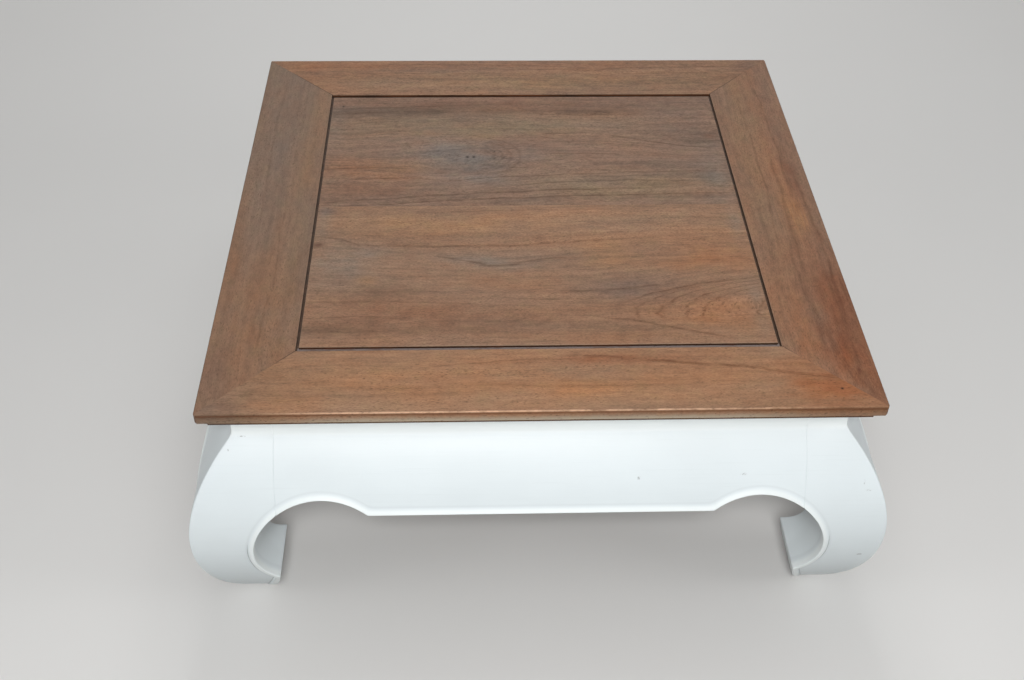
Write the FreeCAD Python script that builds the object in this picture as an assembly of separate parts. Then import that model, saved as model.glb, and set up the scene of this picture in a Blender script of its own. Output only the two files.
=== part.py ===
import FreeCAD, Part
import math
import os

# A low square kang table. Its bare hardwood top is four mitred frame members round a floating panel.
# Its painted base is four bulging aprons between four bulging legs, whose feet turn inwards as hooves.
# Lengths are millimetres, +Z is up and the front faces -Y.
# The origin is on the floor under the middle of the top.

# Overall sizes
top_length = 700.0
top_depth = 700.0
table_height = 300.0
clearance = 0.2
overrun = 5.0

# Top frame, with its moulded edge
top_thickness = 25.0
frame_width = 92.5
edge_land = 13.0
edge_undercut = 10.0
edge_rounding = 1.5
inner_rounding = 0.8

# Mitre joints between the rails and the stiles
mitre_tenon_thickness = 8.0
mitre_tenon_above = 9.0
mitre_tenon_width = 40.0
mitre_tenon_inset = 38.0
mitre_tenon_stop = 18.0
mortise_end_room = 1.0
mitre_pin_radius = 3.0
mitre_pin_inset = 22.0
mitre_pin_cover = 6.0

# Floating panel of two boards
board_thickness = 13.0
panel_tongue = 9.5
panel_tongue_reach = 8.0
panel_swell_room = 2.0
panel_gap_side = 3.2
panel_gap_front = 6.0
panel_gap_back = 7.0
board_rounding = 0.8
front_board_width = 251.5
board_tongue = 3.0
board_tongue_reach = 5.0
board_tongue_above = 5.0

# Dovetailed battens under the panel
batten_width = 34.0
batten_depth = 10.0
batten_from_end = 130.0
dovetail_height = 4.0
dovetail_neck = 24.0
batten_tenon_width = 24.0
batten_tenon_thickness = 6.0
batten_tenon_above = 2.0
batten_tenon_reach = 14.0

# Outer face of the base: an upright band, then one arc out to the belly and one in to the foot
band_inset = 27.7
band_height = 32.0
belly_reach = 25.2
belly_height = 125.0
foot_inset = 21.0

# Round opening beside each leg, the aprons' straight edge, and the toe of the foot
arch_radius = 76.5
arch_inset = 117.3
arch_height = 109.0
apron_edge_height = 167.7
toe_inset = 62.0
toe_heel_inset = 44.0
toe_swell = 2.3

# Raised lip that follows the lower edge of the aprons and legs
lip_height = 2.8
lip_width = 9.0
lip_root = 4.0

# Aprons and their joints to the legs
joint_inset = 70.0
apron_thickness = 24.0
apron_tenon_shoulder = 7.0
apron_tenon_thickness = 10.0
apron_tenon_reach = 22.0
apron_tenon_below_top = 13.0
apron_tenon_above_edge = 12.0
apron_pin_radius = 3.0
apron_pin_from_joint = 11.0
apron_pin_depth = 39.0
front_pin_below_top = 19.0
side_pin_below_top = 29.0

# Tenons on the legs and loose tenons on the aprons that hold the top
leg_tenon_thickness = 10.0
leg_tenon_inset = 32.0
leg_tenon_from_joint = 2.0
leg_tenon_width = 22.0
long_tenon_height = 14.0
short_tenon_height = 6.0
loose_tenon_length = 30.0
loose_tenon_thickness = 8.0
loose_tenon_height = 16.0
loose_tenon_from_joint = 90.0

# Heights and places that follow from the sizes above
under_top = table_height - top_thickness
panel_under = table_height - board_thickness
tongue_top = panel_under + panel_tongue
kink_height = under_top - band_height
upper_radius = ((band_inset + belly_reach) ** 2 + (kink_height - belly_height) ** 2) / (
    2 * (band_inset + belly_reach))
lower_radius = ((foot_inset + belly_reach) ** 2 + belly_height ** 2) / (2 * (foot_inset + belly_reach))
toe_height = arch_height - math.sqrt(arch_radius ** 2 - (arch_inset - toe_inset) ** 2)
joint_edge_height = arch_height + math.sqrt(arch_radius ** 2 - (arch_inset - joint_inset) ** 2)
lip_top = arch_height + arch_radius + lip_width + overrun
opening_length = top_length - 2 * frame_width
opening_depth = top_depth - 2 * frame_width
front_edge = -top_depth / 2
left_edge = -top_length / 2


class Outline:
    """A closed outline of lines and arcs, drawn in an upright plane as (inset, height) points."""

    def __init__(self, inset, height):
        self.first = (inset, height)
        self.here = self.first
        self.steps = []

    def line(self, inset, height):
        """A straight line to that point."""
        self.steps.append((self.here, None, (inset, height)))
        self.here = (inset, height)

    def arc(self, through, end):
        """An arc to end that passes through another point."""
        self.steps.append((self.here, through, end))
        self.here = end

    def prism(self, along, start, length):
        """The outline swept along "x" or "y"; its insets lie on the other of the two."""
        def place(point):
            if along == "x":
                return FreeCAD.Vector(start, point[0], point[1])
            return FreeCAD.Vector(point[0], start, point[1])

        if self.here != self.first:
            self.line(*self.first)
        edges = []
        for begin, through, end in self.steps:
            if through is None:
                edges.append(Part.LineSegment(place(begin), place(end)).toShape())
            else:
                edges.append(Part.Arc(place(begin), place(through), place(end)).toShape())
        sweep = FreeCAD.Vector(length, 0, 0) if along == "x" else FreeCAD.Vector(0, length, 0)
        return Part.Face(Part.Wire(edges)).extrude(sweep)


def block(across, inward, upward):
    """A box from three (low, high) pairs along X, Y and Z."""
    corner = FreeCAD.Vector(across[0], inward[0], upward[0])
    sizes = [high - low for low, high in (across, inward, upward)]
    return Part.makeBox(*sizes, corner)


def rod(radius, start, direction, length):
    """A round bar from a start point along a direction."""
    return Part.makeCylinder(radius, length, FreeCAD.Vector(*start), FreeCAD.Vector(*direction))


def both_ends(shape, length):
    """A shape near the start of a side of that length, with its mirror image near the far end."""
    middle = FreeCAD.Vector(length / 2, 0, 0)
    return shape.fuse(shape.mirror(middle, FreeCAD.Vector(1, 0, 0)))


def cleaned(shape):
    """What a chain of cuts and unions left, with its split faces joined."""
    return shape.removeSplitter()


def place_on_side(shape, side):
    """Moves a shape from a side's own frame, X along the side and Y inwards, to its place."""
    turns = {"front": 0, "right": 90, "back": 180, "left": -90}
    corners = {
        "front": (left_edge, front_edge),
        "right": (-left_edge, front_edge),
        "back": (-left_edge, -front_edge),
        "left": (left_edge, -front_edge),
    }
    placed = shape.copy()
    placed.rotate(FreeCAD.Vector(0, 0, 0), FreeCAD.Vector(0, 0, 1), turns[side])
    placed.translate(FreeCAD.Vector(*corners[side], 0))
    return placed


def place_at_corner(shape, depthwise, sideways):
    """Moves a shape from the front left corner's own frame to a corner, as its mirror image there."""
    placed = shape.copy()
    placed.translate(FreeCAD.Vector(left_edge, front_edge, 0))
    if sideways == "right":
        placed = placed.mirror(FreeCAD.Vector(0, 0, 0), FreeCAD.Vector(1, 0, 0))
    if depthwise == "back":
        placed = placed.mirror(FreeCAD.Vector(0, 0, 0), FreeCAD.Vector(0, 1, 0))
    return placed


def side_length(side):
    """How long the top is along a side."""
    return top_length if side in ("front", "back") else top_depth


# Outer face of the base

def kink_at(deep):
    """Height of the crease between the upright band and the belly, on a surface deep inside the face."""
    radius = upper_radius - deep
    centre = upper_radius - belly_reach
    across = centre - band_inset - deep
    return belly_height + math.sqrt(radius ** 2 - across ** 2)


def face_inset(height, deep):
    """Inset from the top's edge of a surface that lies deep inside the outer face."""
    if height >= kink_at(deep):
        return band_inset + deep
    radius = upper_radius if height >= belly_height else lower_radius
    rise = height - belly_height
    return radius - belly_reach - math.sqrt((radius - deep) ** 2 - rise ** 2)


def follow_face(outline, deep, start, end):
    """Draws an outline along the surface that lies deep inside the outer face, between two heights."""
    low = min(start, end)
    high = max(start, end)
    stops = [height for height in (belly_height, kink_at(deep)) if low < height < high]
    stops.sort(reverse=start > end)
    here = start
    for there in stops + [end]:
        middle = (here + there) / 2
        target = (face_inset(there, deep), there)
        if min(here, there) >= kink_at(deep):
            outline.line(*target)
        else:
            outline.arc((face_inset(middle, deep), middle), target)
        here = there


def wall_slice(outer_deep, inner_deep, low, high):
    """The outline between two surfaces that follow the outer face, and between two heights."""
    outline = Outline(face_inset(low, outer_deep), low)
    follow_face(outline, outer_deep, low, high)
    outline.line(face_inset(high, inner_deep), high)
    follow_face(outline, inner_deep, high, low)
    return outline


def arch_rod(radius):
    """The round opening beside a leg, as a bar right through a side's wall."""
    start = (arch_inset, -belly_reach - lip_height - overrun, arch_height)
    return rod(radius, start, (0, 1, 0), belly_reach + lip_height + frame_width + 2 * overrun)


# Sockets that two pieces share

def apron_tenon(room):
    """The curved tenon at an apron's end, in the side's frame; room makes it the leg's mortise."""
    outer = apron_tenon_shoulder - room
    inner = apron_tenon_shoulder + apron_tenon_thickness + room
    low = joint_edge_height + apron_tenon_above_edge - room
    high = under_top - apron_tenon_below_top + room
    reach = apron_tenon_reach + room
    return wall_slice(outer, inner, low, high).prism("x", joint_inset - reach, reach)


def apron_pin(below_top, room):
    """The pin from a leg's inner face through an apron's tenon, in the side's frame."""
    start = (joint_inset - apron_pin_from_joint, joint_inset, under_top - below_top)
    return rod(apron_pin_radius + room, start, (0, -1, 0), apron_pin_depth + room)


def leg_tenon(height, room):
    """A tenon on top of a leg beside its corner's mitre line, in the side's frame."""
    far = joint_inset - leg_tenon_from_joint
    return block(
        (far - leg_tenon_width - room, far + room),
        (leg_tenon_inset - room, leg_tenon_inset + leg_tenon_thickness + room),
        (under_top, under_top + height + room),
    )


def loose_tenon(room):
    """A loose tenon between an apron and the top, in the side's frame."""
    start = joint_inset + loose_tenon_from_joint
    middle = band_inset + apron_thickness / 2
    half_thickness = loose_tenon_thickness / 2 + room
    half_height = loose_tenon_height / 2 + room
    return block(
        (start - room, start + loose_tenon_length + room),
        (middle - half_thickness, middle + half_thickness),
        (under_top - half_height, under_top + half_height),
    )


def mitre_tenon(room):
    """The tenon that a rail puts into a stile, in the corner's frame with X along the rail."""
    high = table_height - mitre_tenon_above
    across = (mitre_tenon_inset, mitre_tenon_inset + mitre_tenon_width)
    return block(
        (mitre_tenon_stop - room, across[1]),
        (across[0] - room, across[1] + room),
        (high - mitre_tenon_thickness - room, high + room),
    )


def mitre_pin(room):
    """The pin up through a stile and the tenon in it, in the corner's frame."""
    start = (mitre_pin_inset, mitre_tenon_inset + mitre_tenon_width / 2, under_top)
    return rod(mitre_pin_radius + room, start, (0, 0, 1), top_thickness - mitre_pin_cover + room)


# Top frame

def frame_profile():
    """Section of a rail or stile: rounded upper edge, upright land, hollow undercut and inner edge."""
    cut_height = table_height - edge_land
    drop = cut_height - under_top
    corner_share = 1 - math.sqrt(0.5)
    outline = Outline(frame_width, under_top)
    outline.line(edge_undercut, under_top)
    outline.arc(
        (edge_undercut * (1 - corner_share), under_top + drop * (1 - corner_share)),
        (0, cut_height),
    )
    outline.line(0, table_height - edge_rounding)
    outline.arc(
        (edge_rounding * corner_share, table_height - edge_rounding * corner_share),
        (edge_rounding, table_height),
    )
    outline.line(frame_width - inner_rounding, table_height)
    outline.arc(
        (frame_width - inner_rounding * corner_share, table_height - inner_rounding * corner_share),
        (frame_width, table_height - inner_rounding),
    )
    return outline


def mitred_bar(length):
    """A rail or stile with both ends mitred and the panel's groove, in the side's frame."""
    bar = frame_profile().prism("x", 0, length)
    plan = [
        FreeCAD.Vector(0, 0, 0),
        FreeCAD.Vector(length, 0, 0),
        FreeCAD.Vector(length - frame_width, frame_width, 0),
        FreeCAD.Vector(frame_width, frame_width, 0),
    ]
    mitres = Part.Face(Part.makePolygon(plan + plan[:1])).extrude(FreeCAD.Vector(0, 0, table_height))
    groove = block(
        (0, length),
        (frame_width - panel_tongue_reach - panel_swell_room, frame_width + overrun),
        (panel_under, tongue_top + clearance),
    )
    return bar.common(mitres).cut(groove)


def batten_places():
    """Where the middles of the two battens lie along X."""
    place = opening_length / 2 - batten_from_end
    return (-place, place)


def batten_tenon(place, room):
    """The tenon of a batten in a rail, in the side's frame, with its middle at that place."""
    high = panel_under - batten_tenon_above
    return block(
        (place - batten_tenon_width / 2 - room, place + batten_tenon_width / 2 + room),
        (frame_width - batten_tenon_reach - room, frame_width),
        (high - batten_tenon_thickness - room, high + room),
    )


def rail():
    """A front or back rail: mitre tenons at both ends, sockets for legs, apron tenons and battens."""
    bar = mitred_bar(top_length)
    tenon = mitre_tenon(0).cut(mitre_pin(clearance))
    sockets = leg_tenon(long_tenon_height, clearance).fuse(loose_tenon(clearance))
    bar = bar.fuse(both_ends(tenon, top_length)).cut(both_ends(sockets, top_length))
    for place in batten_places():
        bar = bar.cut(batten_tenon(top_length / 2 + place, clearance))
    return cleaned(bar)


def stile():
    """A left or right stile: mortises for the rails' tenons, pin holes and sockets for the base."""
    mortise = mitre_tenon(clearance).fuse(mitre_tenon(0).translated(
        FreeCAD.Vector(-mortise_end_room, 0, 0)))
    pocket = mortise.fuse(mitre_pin(clearance))
    diagonal = FreeCAD.Vector(1, -1, 0)
    turned = pocket.mirror(FreeCAD.Vector(0, 0, 0), diagonal)
    sockets = turned.fuse(leg_tenon(short_tenon_height, clearance)).fuse(loose_tenon(clearance))
    return cleaned(mitred_bar(top_depth).cut(both_ends(sockets, top_depth)))


# Panel and battens

def board_rows():
    """The front and back limits of the two boards' faces."""
    front = -opening_depth / 2 + panel_gap_front
    seam = front + front_board_width
    return {"front": (front, seam), "back": (seam, opening_depth / 2 - panel_gap_back)}


def batten_slot(place, room):
    """The dovetailed slot across the boards for a batten, as an outline along Y."""
    flare = (batten_width - dovetail_neck) / 2 / dovetail_height
    neck = dovetail_neck / 2 + room
    wide = batten_width / 2 + room + room * flare
    outline = Outline(place - neck, panel_under)
    outline.line(place + neck, panel_under)
    outline.line(place + wide, panel_under + dovetail_height + room)
    outline.line(place - wide, panel_under + dovetail_height + room)
    return outline


def edge_tongue(across, seam, room):
    """The tongue of one board in the edge of the board behind it."""
    high = table_height - board_tongue_above
    return block(
        across,
        (seam - room, seam + board_tongue_reach + room),
        (high - board_tongue - room, high + room),
    )


def panel_board(name):
    """One of the panel's two boards: a tongue where it meets the frame, a glued seam at the other."""
    front, back = board_rows()[name]
    half_length = opening_length / 2 - panel_gap_side
    half_tongue = opening_length / 2 + panel_tongue_reach
    across = (-half_length, half_length)
    body = block(across, (front, back), (panel_under, table_height))
    upper_edges = [
        edge for edge in body.Edges
        if all(abs(vertex.Z - table_height) < clearance for vertex in edge.Vertexes)
        and not shared_seam(edge, front, back, name)
    ]
    body = body.makeFillet(board_rounding, upper_edges)
    low = -opening_depth / 2 - panel_tongue_reach if name == "front" else front
    high = opening_depth / 2 + panel_tongue_reach if name == "back" else back
    body = body.fuse(block((-half_tongue, half_tongue), (low, high), (panel_under, tongue_top)))
    if name != "back":
        body = body.fuse(edge_tongue(across, back, 0))
    if name != "front":
        body = body.cut(edge_tongue((-half_tongue, half_tongue), front, clearance))
    for place in batten_places():
        slot = batten_slot(place, clearance).prism("y", low - overrun, high - low + 2 * overrun)
        body = body.cut(slot)
    return cleaned(body)


def shared_seam(edge, front, back, name):
    """True for a board's upper edge that is glued to its neighbour."""
    row = edge.CenterOfMass.y
    at_front = abs(row - front) < clearance and name != "front"
    at_back = abs(row - back) < clearance and name != "back"
    return at_front or at_back


def batten(place):
    """A dovetailed batten under the boards, tenoned into the front and back rails."""
    half = opening_depth / 2
    body = block(
        (place - batten_width / 2, place + batten_width / 2),
        (-half, half),
        (panel_under - batten_depth, panel_under),
    )
    body = body.fuse(batten_slot(place, 0).prism("y", -half, opening_depth))
    tenon = batten_tenon(place, 0).translated(FreeCAD.Vector(0, front_edge, 0))
    tenons = tenon.fuse(tenon.mirror(FreeCAD.Vector(0, 0, 0), FreeCAD.Vector(0, 1, 0)))
    return cleaned(body.fuse(tenons))


# Legs

def leg_outline():
    """The leg seen from the front: post, belly, foot, toe and the round opening above the toe."""
    outline = Outline(joint_inset, under_top)
    outline.line(band_inset, under_top)
    follow_face(outline, 0, under_top, 0)
    outline.line(toe_heel_inset, 0)
    run = toe_inset - toe_heel_inset
    slope = math.hypot(run, toe_height)
    middle = (
        toe_heel_inset + run / 2 + toe_swell * toe_height / slope,
        toe_height / 2 - toe_swell * run / slope,
    )
    outline.arc(middle, (toe_inset, toe_height))
    outline.arc((arch_inset - arch_radius, arch_height), (joint_inset, joint_edge_height))
    return outline


def toe_slab():
    """A bar along Y that holds the lip at the toe's end, which runs down to the floor."""
    run = toe_inset - toe_heel_inset
    slope = math.hypot(run, toe_height)
    step_in = lip_width * toe_height / slope
    step_up = lip_width * run / slope
    rise_share = lip_width / toe_height
    outline = Outline(toe_heel_inset - step_in - run * rise_share, step_up - lip_width)
    outline.line(toe_inset - step_in, toe_height + step_up)
    outline.line(toe_inset + lip_width, toe_height + step_up)
    outline.line(toe_inset + lip_width, step_up - lip_width)
    return outline.prism("y", -belly_reach - overrun, belly_reach + joint_inset + overrun)


def leg():
    """A leg in its corner's frame, with both lips, both mortises, its pin holes and its two tenons."""
    reach = belly_reach + joint_inset + overrun
    seen_from_front = leg_outline().prism("y", -belly_reach - overrun, reach)
    diagonal = FreeCAD.Vector(1, -1, 0)
    middle = FreeCAD.Vector(0, 0, 0)
    body = seen_from_front.common(seen_from_front.mirror(middle, diagonal))
    skin = wall_slice(-lip_height, lip_root, 0, lip_top).prism("x", 0, joint_inset)
    band = arch_rod(arch_radius + lip_width).fuse(toe_slab()).common(seen_from_front)
    lip = band.common(skin)
    body = body.fuse(lip).fuse(lip.mirror(middle, diagonal))
    front_joint = apron_tenon(clearance).fuse(apron_pin(front_pin_below_top, clearance))
    side_joint = apron_tenon(clearance).fuse(apron_pin(side_pin_below_top, clearance))
    body = body.cut(front_joint).cut(side_joint.mirror(middle, diagonal))
    body = body.fuse(leg_tenon(long_tenon_height, 0))
    body = body.fuse(leg_tenon(short_tenon_height, 0).mirror(middle, diagonal))
    return cleaned(body)


# Aprons

def apron(length, pin_below_top):
    """An apron in its side's frame: bulging wall, arches and lip below, tenons and pin holes at its ends."""
    run = length - 2 * joint_inset
    arches = both_ends(arch_rod(arch_radius), length)
    body = wall_slice(0, apron_thickness, apron_edge_height, under_top).prism("x", joint_inset, run)
    skin = wall_slice(-lip_height, lip_root, apron_edge_height, lip_top).prism("x", joint_inset, run)
    straight = block(
        (joint_inset, length - joint_inset),
        (-belly_reach - overrun, frame_width),
        (apron_edge_height, apron_edge_height + lip_width),
    )
    lip = straight.fuse(both_ends(arch_rod(arch_radius + lip_width), length)).common(skin)
    body = body.fuse(lip).cut(arches)
    tenon = apron_tenon(0).cut(apron_pin(pin_below_top, clearance))
    body = body.fuse(both_ends(tenon, length)).cut(both_ends(loose_tenon(clearance), length))
    return cleaned(body)


# Small pieces that hold the joints

def on_both_ends_of(sides, shape):
    """Copies of a small piece near both ends of each named side, as one group of solids."""
    solids = []
    for side in sides:
        pair = both_ends(shape, side_length(side))
        solids.extend(place_on_side(pair, side).Solids)
    return Part.makeCompound(solids)


def mitre_pins():
    """The four pins that lock the rails' tenons in the stiles."""
    corners = [(depthwise, sideways) for depthwise in ("front", "back") for sideways in ("left", "right")]
    return Part.makeCompound([place_at_corner(mitre_pin(0), *corner) for corner in corners])


def table():
    """Every piece of the table, by its node's name."""
    pieces = {}
    for side in ("front", "back"):
        pieces[f"top_{side}_rail"] = place_on_side(rail(), side)
        pieces[f"{side}_apron"] = place_on_side(apron(top_length, front_pin_below_top), side)
    for side in ("left", "right"):
        pieces[f"top_{side}_stile"] = place_on_side(stile(), side)
        pieces[f"{side}_apron"] = place_on_side(apron(top_depth, side_pin_below_top), side)
    for name in board_rows():
        pieces[f"panel_{name}_board"] = panel_board(name)
    for name, place in zip(("left", "right"), batten_places()):
        pieces[f"{name}_batten"] = batten(place)
    for depthwise in ("front", "back"):
        for sideways in ("left", "right"):
            pieces[f"{depthwise}_{sideways}_leg"] = place_at_corner(leg(), depthwise, sideways)
    pieces["mitre_pins"] = mitre_pins()
    pieces["loose_tenons"] = on_both_ends_of(("front", "right", "back", "left"), loose_tenon(0))
    pieces["front_back_apron_pins"] = on_both_ends_of(
        ("front", "back"), apron_pin(front_pin_below_top, 0))
    pieces["side_apron_pins"] = on_both_ends_of(("left", "right"), apron_pin(side_pin_below_top, 0))
    return pieces


os.makedirs("parts", exist_ok=True)
for node, piece in table().items():
    piece.exportStep(os.path.join("parts", node + ".step"))
    print(f"{node}: {len(piece.Solids)} solid(s), {piece.Volume / 1000:.1f} cm3, valid {piece.isValid()}")
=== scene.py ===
"""Dresses a low square kang table: a bare hardwood top on a base painted white.

Lengths are in metres, or in millimetres inside the materials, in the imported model's own frame.
The origin is on the floor under the middle of the top, +Z is up and the front faces -Y. Run as a
script, it builds the whole scene.
"""

import math
from collections import namedtuple

import bmesh
import bpy
from bpy.props import FloatProperty, FloatVectorProperty, PointerProperty
from mathutils import Matrix, Vector


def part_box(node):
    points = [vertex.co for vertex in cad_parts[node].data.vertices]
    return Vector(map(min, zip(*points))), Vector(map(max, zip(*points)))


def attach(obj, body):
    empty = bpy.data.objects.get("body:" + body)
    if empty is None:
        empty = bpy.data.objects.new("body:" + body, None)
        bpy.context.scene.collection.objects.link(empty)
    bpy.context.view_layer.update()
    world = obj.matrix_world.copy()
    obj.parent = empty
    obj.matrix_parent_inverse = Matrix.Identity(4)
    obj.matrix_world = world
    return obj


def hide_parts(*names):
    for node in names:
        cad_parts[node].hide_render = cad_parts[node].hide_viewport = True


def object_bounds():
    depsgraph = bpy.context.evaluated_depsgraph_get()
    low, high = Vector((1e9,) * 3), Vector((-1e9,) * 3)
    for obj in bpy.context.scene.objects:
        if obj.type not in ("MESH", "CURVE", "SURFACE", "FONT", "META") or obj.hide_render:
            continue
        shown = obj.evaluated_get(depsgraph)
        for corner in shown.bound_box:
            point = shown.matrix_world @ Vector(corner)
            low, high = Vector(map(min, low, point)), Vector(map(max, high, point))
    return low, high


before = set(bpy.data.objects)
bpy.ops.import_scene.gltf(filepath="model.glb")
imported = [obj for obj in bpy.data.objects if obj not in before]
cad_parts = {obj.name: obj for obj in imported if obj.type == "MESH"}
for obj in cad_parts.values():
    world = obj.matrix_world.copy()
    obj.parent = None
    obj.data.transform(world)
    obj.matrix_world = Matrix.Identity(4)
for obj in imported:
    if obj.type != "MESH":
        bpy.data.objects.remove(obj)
CAD_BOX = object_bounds()

bl_info = {
    "name": "Kang table",
    "version": (1, 0, 0),
    "blender": (4, 5, 0),
    "location": "3D View > Sidebar > Kang table",
    "description": "Builds the pieces and finishes of a low square kang table",
    "category": "Mesh",
}

MM = 0.001
ONLY_BODY = "root"
SIDES = ("front", "right", "back", "left")
CORNERS = (("front", "left"), ("front", "right"), ("back", "left"), ("back", "right"))
QUARTER_TURN = math.radians(90)


# Sizes read from the frame

def extent(node, axis):
    """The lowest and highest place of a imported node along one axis."""
    low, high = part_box(node)
    return low[axis], high[axis]


def span(node, axis):
    """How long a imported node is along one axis."""
    low, high = extent(node, axis)
    return high - low


TOP_LENGTH = span("top_front_rail", 0)
TOP_DEPTH = span("top_left_stile", 1)
TOP_HEIGHT = extent("top_front_rail", 2)[1]
UNDER_TOP = extent("front_apron", 2)[1]
FRAME_WIDTH = span("top_left_stile", 0)
PANEL_UNDER = extent("panel_front_board", 2)[0]
SEAM_PLACE = extent("panel_back_board", 1)[0]
OPENING_LENGTH = TOP_LENGTH - 2 * FRAME_WIDTH
OPENING_DEPTH = TOP_DEPTH - 2 * FRAME_WIDTH
TONGUE_REACH = -OPENING_DEPTH / 2 - extent("panel_front_board", 1)[0]
JOINT_INSET = extent("front_left_leg", 0)[1] + TOP_LENGTH / 2
LIP_REACH = CAD_BOX[1].x - TOP_LENGTH / 2
BATTEN_WIDTH = span("left_batten", 0)
BATTEN_PLACE = -sum(extent("left_batten", 0)) / 2
BATTEN_UNDER = extent("left_batten", 2)[0]
DOVETAIL_HEIGHT = extent("left_batten", 2)[1] - PANEL_UNDER


# Properties

def length(name, description, millimetres):
    """A length property whose default is given in millimetres."""
    return FloatProperty(name=name, description=description, default=millimetres * MM,
                         unit="LENGTH", precision=4)


def linear(red, green, blue):
    """A display colour, 0 to 255, as the linear values that shaders use."""
    def channel(value):
        share = value / 255
        if share <= 0.04045:
            return share / 12.92
        return ((share + 0.055) / 1.055) ** 2.4

    return tuple(channel(value) for value in (red, green, blue))


def colour(name, description, red, green, blue):
    """A colour property whose default is given as 0 to 255 display values."""
    return FloatVectorProperty(name=name, description=description, subtype="COLOR", size=3,
                               min=0.0, max=1.0, default=linear(red, green, blue))


class KangTopSizes(bpy.types.PropertyGroup):
    """Edges, groove and seams of the top."""
    edge_land: length("Edge land", "Height of the upright part of the top's edge", 13)
    edge_undercut: length("Undercut", "How far the hollow under that edge cuts in", 10)
    outer_rounding: length("Outer rounding", "Radius of the worn upper arris", 1.5)
    inner_rounding: length("Inner rounding", "Radius of the frame's arris at the panel", 0.8)
    mitre_rounding: length("Mitre rounding", "Softening of the edges along a mitre", 0.12)
    corner_wear: length("Corner wear", "How much is worn off the top's outer corners", 2.6)
    groove_depth: length("Groove depth", "How deep the groove round the panel shows", 3.5)
    slot_depth: length("Slot depth", "How far the panel's slot cuts into the frame", 10)
    side_gap: length("Side gap", "Width of the groove at the left and right", 3.2)
    front_gap: length("Front gap", "Width of the groove at the front", 6)
    back_gap: length("Back gap", "Width of the groove at the back", 7)
    board_rounding: length("Board rounding", "Radius of the boards' arris at the groove", 0.9)
    seam_rounding: length("Seam rounding", "Softening of the glued seam", 0.2)
    batten_rounding: length("Batten rounding", "Radius of the battens' lower edges", 1.5)
    dovetail_neck: length("Dovetail neck", "Width of a batten where it leaves the boards", 24)


class KangBaseSizes(bpy.types.PropertyGroup):
    """The painted base. Insets run inwards from the top's edge, heights from the floor."""
    band_inset: length("Band inset", "Inset of the upright band under the top", 27.7)
    band_height: length("Band height", "Height of that band", 32)
    kink_softness: length("Kink softness", "How far the paint rounds the hollow under that band", 5)
    belly_reach: length("Belly reach", "How far the belly passes the top's edge", LIP_REACH / MM - 2.8)
    belly_height: length("Belly height", "Height of the widest part", 125)
    foot_inset: length("Foot inset", "Inset of the outer face at the floor", 21)
    arch_radius: length("Arch radius", "Radius of the round opening beside a leg", 76.5)
    arch_inset: length("Arch inset", "Inset of that opening's centre", 117.3)
    arch_height: length("Arch height", "Height of that opening's centre", 109)
    edge_height: length("Edge height", "Height of the aprons' straight lower edge", 167.7)
    toe_inset: length("Toe inset", "Inset of the toe's tip", 62)
    heel_inset: length("Heel inset", "Inset of the toe's end at the floor", 44)
    toe_swell: length("Toe swell", "How far the toe's end bulges", 2.3)
    lip_height: length("Lip height", "How far the lip stands out", 2.8)
    lip_width: length("Lip width", "Width of the lip along the lower edges", 9)
    bead_height: length("Bead height", "How far the lip stands out on the lower leg", 1.7)
    bead_groove: length("Bead groove", "Depth of the groove beside the lip there", 0.5)
    wall: length("Wall", "Thickness of the aprons", 24)
    rounding: length("Rounding", "Softening of the painted edges", 1.2)


class KangDowelSizes(bpy.types.PropertyGroup):
    """The wooden pins that lock the joints."""
    radius: length("Radius", "Radius of a pin", 3)
    proud: length("Proud", "How far a pin's end stands out of the surface", 0.2)
    rounding: length("Rounding", "Softening of a pin's end", 0.5)
    mitre_inset: length("Mitre pin inset", "Inset of a mitre pin from the top's side edge", 22)
    mitre_along: length("Mitre pin place", "Inset of a mitre pin from the front or back edge", 58)
    mitre_length: length("Mitre pin length", "Length of a mitre pin", 19)
    apron_from_joint: length("Apron pin place", "How far an apron pin lies from its joint", 11)
    apron_length: length("Apron pin length", "Length of an apron pin", 39)
    front_below_top: length("Front pins' depth", "Depth of the front and back pins below the top", 19)
    side_below_top: length("Side pins' depth", "Depth of the side pins below the top", 29)


class KangColours(bpy.types.PropertyGroup):
    """Main colours of the finishes."""
    paint: colour("Paint", "Cool white paint", 237, 246, 249)
    paint_dirt: colour("Paint dirt", "Grime in the paint's creases and scuffs", 128, 130, 130)
    left_stile: colour("Left stile", "Middle tone of the left stile", 133, 107, 89)
    right_stile: colour("Right stile", "Middle tone of the right stile", 141, 108, 87)
    front_rail: colour("Front rail", "Middle tone of the front rail", 156, 121, 95)
    back_rail: colour("Back rail", "Middle tone of the back rail", 147, 112, 88)
    front_board: colour("Front board", "Middle tone of the front board", 148, 115, 92)
    back_board: colour("Back board", "Middle tone of the back board", 138, 110, 92)
    inner_wood: colour("Inner wood", "Middle tone of battens, pins and tenons", 164, 132, 102)
    # This colour also darkens the hollow under the top's edge, as painted shade.
    grime_and_shade_tone: colour("Grime", "Dark dirt in grooves and pores", 52, 38, 32)


# Meshes

CREASE = "crease"
LIP = "lip"

# Rows of a leg's mesh: shares of the way from its outer face to the lip, then shares of the lip's
# width from its edge.
BODY_SHARES = (0, 0.03, 0.12, 0.25, 0.4, 0.55, 0.7, 0.85, 1)
LIP_SHARES = (0.9, 0.82, 0.75, 0.68, 0.6, 0.52, 0.42, 0.28, 0.13, 0)

# Where the bead ends, and the groove beside it, as shares of the lip's width.
BEAD_END = (0.52, 0.68)
GROOVE_MIDDLE = 0.75
GROOVE_HALF = 0.15
CREASE_HALF = 0.12

# Between these heights above the round opening's centre the bead turns into a cove.
BEAD_TOP = 6 * MM
COVE_FOOT = 31 * MM

# How far behind the outer face the lip's swell reaches, as a share of the thickness there.
SKIN_SHARE = 0.25

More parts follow.
